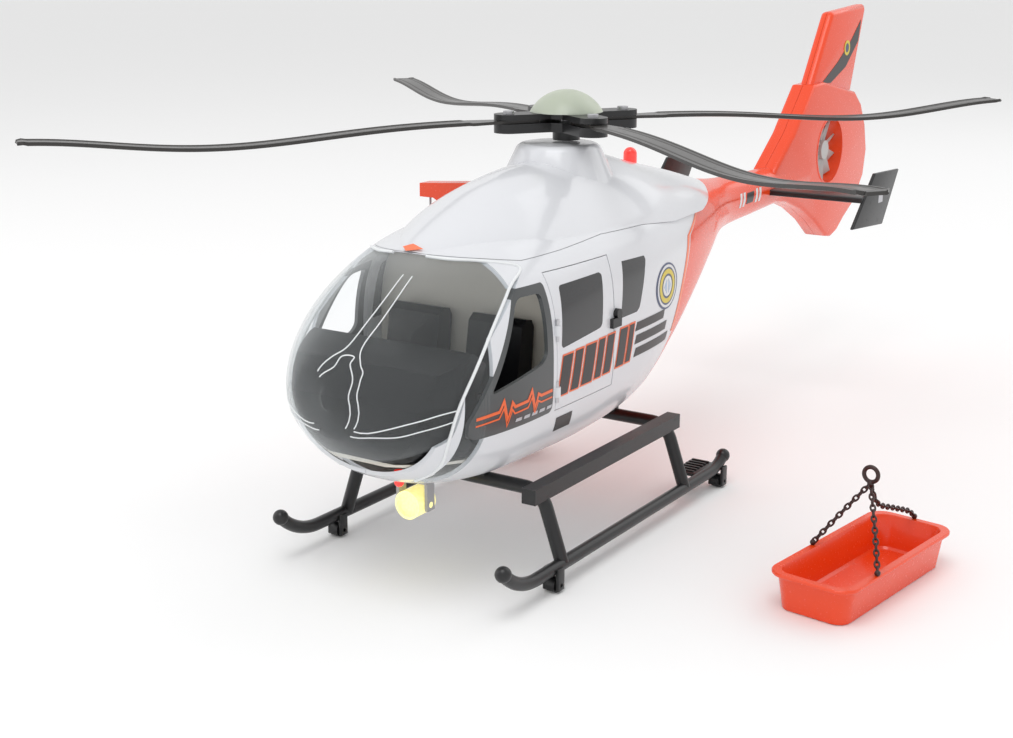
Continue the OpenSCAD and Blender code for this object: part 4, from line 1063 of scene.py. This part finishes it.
def build_markings():
    """Roundels, bars, stripes and the pulse line, in plain shapes."""
    for side, tag in ((1, "port"), (-1, "starboard")):
        door = tag + "_door"
        cy = 15.3
        if side > 0:
            film("roundel_base_" + tag, [round_outline(cy, 128.5, 12.8, 48, 1.25)], "print_blue",
                 side=side)
            film("roundel_white_" + tag, ring_outlines(cy, 128.5, 10.4, 11.8, 40, 1.2),
                 "print_white", side=side, lift=0.24)
            film("roundel_ring_" + tag, ring_outlines(cy, 128.5, 6.8, 9.4, 40, 1.2), "print_yellow",
                 side=side, lift=0.24)
            film("roundel_core_" + tag, [round_outline(cy, 128.5, 5.6, 32, 1.2)], "print_white",
                 side=side, lift=0.24)
            film("roundel_star_" + tag, [
                [(cy + s * 1.2, 128.5 - 4), (cy + s * 5, 128.5), (cy + s * 1.2, 128.5 + 4)][::s]
                for s in (1, -1)], "print_sky", side=side, lift=0.38)
        bars = [(-105, 95, 9), (-93, 95.3, 7), (-83, 95.6, 10), (-70, 96, 6), (-61, 96.3, 7)]
        rear = [(-47.5, 96.8, 8), (-37, 97, 5)]
        for body, group in ((door, bars), ("airframe", rear)):
            name = "door" if body == door else "side"
            film("bars_edge_%s_%s" % (name, tag),
                 [slanted(y - 0.9, z - 0.9, w + 1.8, 21.2) for y, z, w in group], "print_orange",
                 body, side)
            film("bars_%s_%s" % (name, tag), [slanted(y, z, w, 19.4) for y, z, w in group],
                 "print_dark", body, side, lift=0.24)
        film("stripes_" + tag, [slanted(-27 + 0.5 * k, 97.6 + 7 * k, 44 - 4 * k, 4.6, 0.5)
                                for k in range(3)], "print_dark", side=side)
        band = [(87, 159.1), (59.1, 149.4), (43, 120.7), (30.6, 99.8)]
        edge = [(y - 4.5, z + 0.4) for y, z in band]
        inner = [(y - 1.0, z) for y, z in band]
        film("sweep_" + tag, [[edge[k], inner[k], inner[k + 1], edge[k + 1]] for k in range(3)],
             "print_band", side=side)
        pulse = [(-166, 97.5), (-156, 98.2), (-152, 98.4), (-149, 103), (-146, 93.4), (-143, 101),
                 (-141, 98.6), (-131, 99.2), (-128, 103.6), (-125, 94.6), (-122.5, 100.6),
                 (-120, 99.3), (-110, 99.5)]
        film("pulse_" + tag, stroke(pulse, 1.5), "print_orange", side=side, slot="dark_grey")
        film("pulse_low_" + tag, stroke([(y, z - 3.4) for y, z in pulse], 0.8), "print_orange",
             side=side, slot="dark_grey")
        film("small_bars_" + tag, [slanted(-140 + 6.4 * k, 90.6, 4.4, 1.6, 0.3) for k in range(5)],
             "print_grey", side=side, slot="dark_grey")
        film("vent_" + tag, [slanted(-101, 75, 15, 8, -0.2)], "print_dark", side=side)
        film("boom_stripes_" + tag, [[(y, z) for y, z in q] for q in (
            slanted(196, 143, 3.4, 9, 0.3), slanted(202, 143, 3.4, 9, 0.3),
            slanted(224, 143, 3.4, 9, 0.3), slanted(230, 143, 3.4, 9, 0.3))], "print_white",
            side=side, slot="orange_shell")
        film("boom_box_" + tag, [slanted(208.6, 144, 12, 7, 0.3)], "print_dark", side=side,
             slot="orange_shell")
        film("fin_sweep_" + tag, [
            [(352, 213), (369, 212), (397, 222), (420, 240), (424, 256), (404, 240), (380, 226)]],
            "print_dark", side=side, table=None, flat_x=5.05, lift=0.02, slot="orange_shell")
        film("fin_ring_" + tag, ring_outlines(398, 236, 3.4, 5.6, 28), "print_yellow", side=side,
             table=None, flat_x=5.05, lift=0.16, slot="orange_shell")
        film("fin_disc_" + tag, [round_outline(398, 236, 3.2, 28)], "print_blue", side=side,
             table=None, flat_x=5.05, lift=0.16, slot="orange_shell")
        film("plate_mark_" + tag, [slanted(279, 141, 8, 8, 0)], "print_grey", side=side,
             table=None, flat_x=79.27, lift=0.02, slot="black_plastic")
    badge = sticker("front_badge", [[(-6, 0), (-2, 3), (6, 0), (-2, -3)]], 1, None, 0, 0, 0.12)
    bm = bmesh.new()
    bm.from_mesh(badge.data)
    for v in bm.verts:
        q = v.co - Vector((0, MAST_Y, 0))
        v.co = place(q.y / MM, -141.5 + q.z / MM, 0) + Vector((0, 0, 0.1689 + 0.42 * q.z + q.x))
    bm.to_mesh(badge.data)
    bm.free()
    finish_piece(badge, material("print_band"), "airframe", "white_shell")


def build_finishes():
    """Finishes of the pieces that keep the solid model's shape."""
    paint_nodes("interior", "dashboard", "seats", "speaker")
    paint_nodes("cream", "cabin_floor", "cabin_wall", "mast_gear")
    paint_nodes("white", "battery_door")
    paint_nodes("black", "port_door_latch", "starboard_door_latch", "power_switch", "hub_lower",
                "hub_upper", "step_rails", "port_front_roller", "port_rear_roller",
                "starboard_front_roller", "starboard_rear_roller", "winch_hook", "winch_reel")
    paint_nodes("steel", "case_screws", "door_hinge_pins", "motor", "motor_pinion", "mast",
                "blade_screws", "roller_axles")
    paint_nodes("grey", "battery_case", "transmission_deck", "searchlight_bracket")
    paint_nodes("fan", "fan_stator", "tail_fan")
    paint_nodes("cell", "battery_cells")
    paint_nodes("orange", "sound_button", "hoist_arm")
    paint_nodes("board", "circuit_board")
    paint_nodes("red_lens", "beacon_lens", "nose_light")
    paint_nodes("lamp", "searchlight")
    paint_nodes("cap", "rotor_cap")


def build_stage():
    """Pale floor, soft lights and the camera."""
    bm = bmesh.new()
    bmesh.ops.create_grid(bm, x_segments=2, y_segments=2, size=30)
    floor = to_object(bm, "floor")
    f = Finish("floor_pale")
    fine = f.noise(3, 2)
    f.set(Base_Color=f.blend(fine * 0.1, (0.93, 0.93, 0.93, 1), (0.9, 0.9, 0.9, 1)), Roughness=0.9)
    floor.data.materials.append(f.material)
    for name, at, size, power in (("key_light", (0.2, -0.9, 1.9), 1.1, 11),
                                  ("fill_light", (-1.5, -0.8, 1.0), 1.6, 4),
                                  ("back_light", (0.6, 1.5, 1.4), 1.6, 5)):
        lamp = bpy.data.lights.new(name, "AREA")
        lamp.size, lamp.energy = size, power
        obj = bpy.data.objects.new(name, lamp)
        obj.location = at
        obj.rotation_euler = (Vector((0, 0, 0.1)) - Vector(at)).to_track_quat("-Z", "Y").to_euler()
        bpy.context.scene.collection.objects.link(obj)
    world = bpy.data.worlds.new("studio")
    world.use_nodes = True
    sky = next(n for n in world.node_tree.nodes if n.type == "BACKGROUND")
    sky.inputs["Color"].default_value = (1, 1, 1, 1)
    sky.inputs["Strength"].default_value = 0.84
    bpy.context.scene.world = world
    bpy.context.scene.view_settings.view_transform = "Standard"
    cam = bpy.data.cameras.new("camera")
    cam.lens, cam.sensor_width, cam.clip_start, cam.clip_end = 54.41, 36, 0.01, 100
    obj = bpy.data.objects.new("camera", cam)
    az, el = math.radians(33.38), math.radians(15.28)
    back = Vector((math.sin(az) * math.cos(el), -math.cos(az) * math.cos(el), math.sin(el)))
    roll = Matrix.Rotation(math.radians(-0.06), 3, "Z")
    turn = (-back).to_track_quat("-Z", "Y").to_matrix() @ roll
    obj.matrix_world = Matrix.Translation((0.43672, -0.82261, 0.30661)) @ turn.to_4x4()
    bpy.context.scene.collection.objects.link(obj)
    bpy.context.scene.camera = obj


# ------------------------------------------------------------------ the add-on's steps
class HELI_OT_materials(bpy.types.Operator):
    """Make every finish from the chosen colours"""
    bl_idname = "heli.materials"
    bl_label = "Finishes"

    def execute(self, context):
        make_materials(context.scene.heli_colours)
        build_finishes()
        return {"FINISHED"}


class HELI_OT_stage(bpy.types.Operator):
    """Make the floor, the lights and the camera"""
    bl_idname = "heli.stage"
    bl_label = "Stage"

    def execute(self, context):
        build_stage()
        return {"FINISHED"}


class HELI_OT_winch(bpy.types.Operator):
    """Make the cord of the winch"""
    bl_idname = "heli.winch"
    bl_label = "Winch cord"

    def execute(self, context):
        build_winch()
        return {"FINISHED"}


class HELI_OT_shells(bpy.types.Operator):
    """Make both halves of the cabin's shell"""
    bl_idname = "heli.shells"
    bl_label = "Cabin shells"

    def execute(self, context):
        build_shells()
        return {"FINISHED"}


class HELI_OT_cowl(bpy.types.Operator):
    """Make the engine cowl"""
    bl_idname = "heli.cowl"
    bl_label = "Engine cowl"

    def execute(self, context):
        build_cowl()
        return {"FINISHED"}


class HELI_OT_panels(bpy.types.Operator):
    """Make the front doors and rear windows"""
    bl_idname = "heli.panels"
    bl_label = "Front doors and rear windows"

    def execute(self, context):
        build_panels()
        return {"FINISHED"}


class HELI_OT_doors(bpy.types.Operator):
    """Make the two cabin doors and their windows"""
    bl_idname = "heli.doors"
    bl_label = "Cabin doors"

    def execute(self, context):
        build_doors()
        return {"FINISHED"}


class HELI_OT_canopy(bpy.types.Operator):
    """Make the clear canopy and its moulded lines"""
    bl_idname = "heli.canopy"
    bl_label = "Canopy"

    def execute(self, context):
        build_canopy()
        return {"FINISHED"}


class HELI_OT_tail(bpy.types.Operator):
    """Make the tail halves and the stabiliser"""
    bl_idname = "heli.tail"
    bl_label = "Tail"

    def execute(self, context):
        build_tail()
        return {"FINISHED"}


class HELI_OT_rotor(bpy.types.Operator):
    """Make the rotor blades"""
    bl_idname = "heli.rotor"
    bl_label = "Rotor blades"

    def execute(self, context):
        build_rotor()
        return {"FINISHED"}


class HELI_OT_gear(bpy.types.Operator):
    """Make the cross tubes and skids"""
    bl_idname = "heli.gear"
    bl_label = "Landing gear"

    def execute(self, context):
        build_gear()
        return {"FINISHED"}


class HELI_OT_basket(bpy.types.Operator):
    """Make the stretcher basket and its chains"""
    bl_idname = "heli.basket"
    bl_label = "Stretcher basket"

    def execute(self, context):
        build_basket()
        return {"FINISHED"}


class HELI_OT_markings(bpy.types.Operator):
    """Make the printed films on the body"""
    bl_idname = "heli.markings"
    bl_label = "Markings"

    def execute(self, context):
        build_markings()
        return {"FINISHED"}


STEPS = (HELI_OT_stage, HELI_OT_materials, HELI_OT_winch, HELI_OT_shells, HELI_OT_cowl,
         HELI_OT_panels, HELI_OT_doors, HELI_OT_canopy, HELI_OT_tail, HELI_OT_rotor, HELI_OT_gear,
         HELI_OT_basket, HELI_OT_markings)


class HELI_PT_panel(bpy.types.Panel):
    """The helicopter's colours, sizes and steps"""
    bl_label = "Toy Rescue Helicopter"
    bl_idname = "HELI_PT_panel"
    bl_space_type = "VIEW_3D"
    bl_region_type = "UI"
    bl_category = "Helicopter"

    def draw(self, context):
        for group in (context.scene.heli_colours, context.scene.heli_sizes):
            for name in group.__annotations__:
                self.layout.prop(group, name)
        for step in STEPS:
            self.layout.operator(step.bl_idname)


CLASSES = (HeliColours, HeliSizes, *STEPS, HELI_PT_panel)


def register():
    for c in CLASSES:
        bpy.utils.register_class(c)
    bpy.types.Scene.heli_colours = PointerProperty(type=HeliColours)
    bpy.types.Scene.heli_sizes = PointerProperty(type=HeliSizes)


def unregister():
    del bpy.types.Scene.heli_sizes
    del bpy.types.Scene.heli_colours
    for c in reversed(CLASSES):
        bpy.utils.unregister_class(c)


def main():
    register()
    for step in STEPS:
        group, name = step.bl_idname.split(".")
        getattr(getattr(bpy.ops, group), name)()


if __name__ == "__main__":
    main()
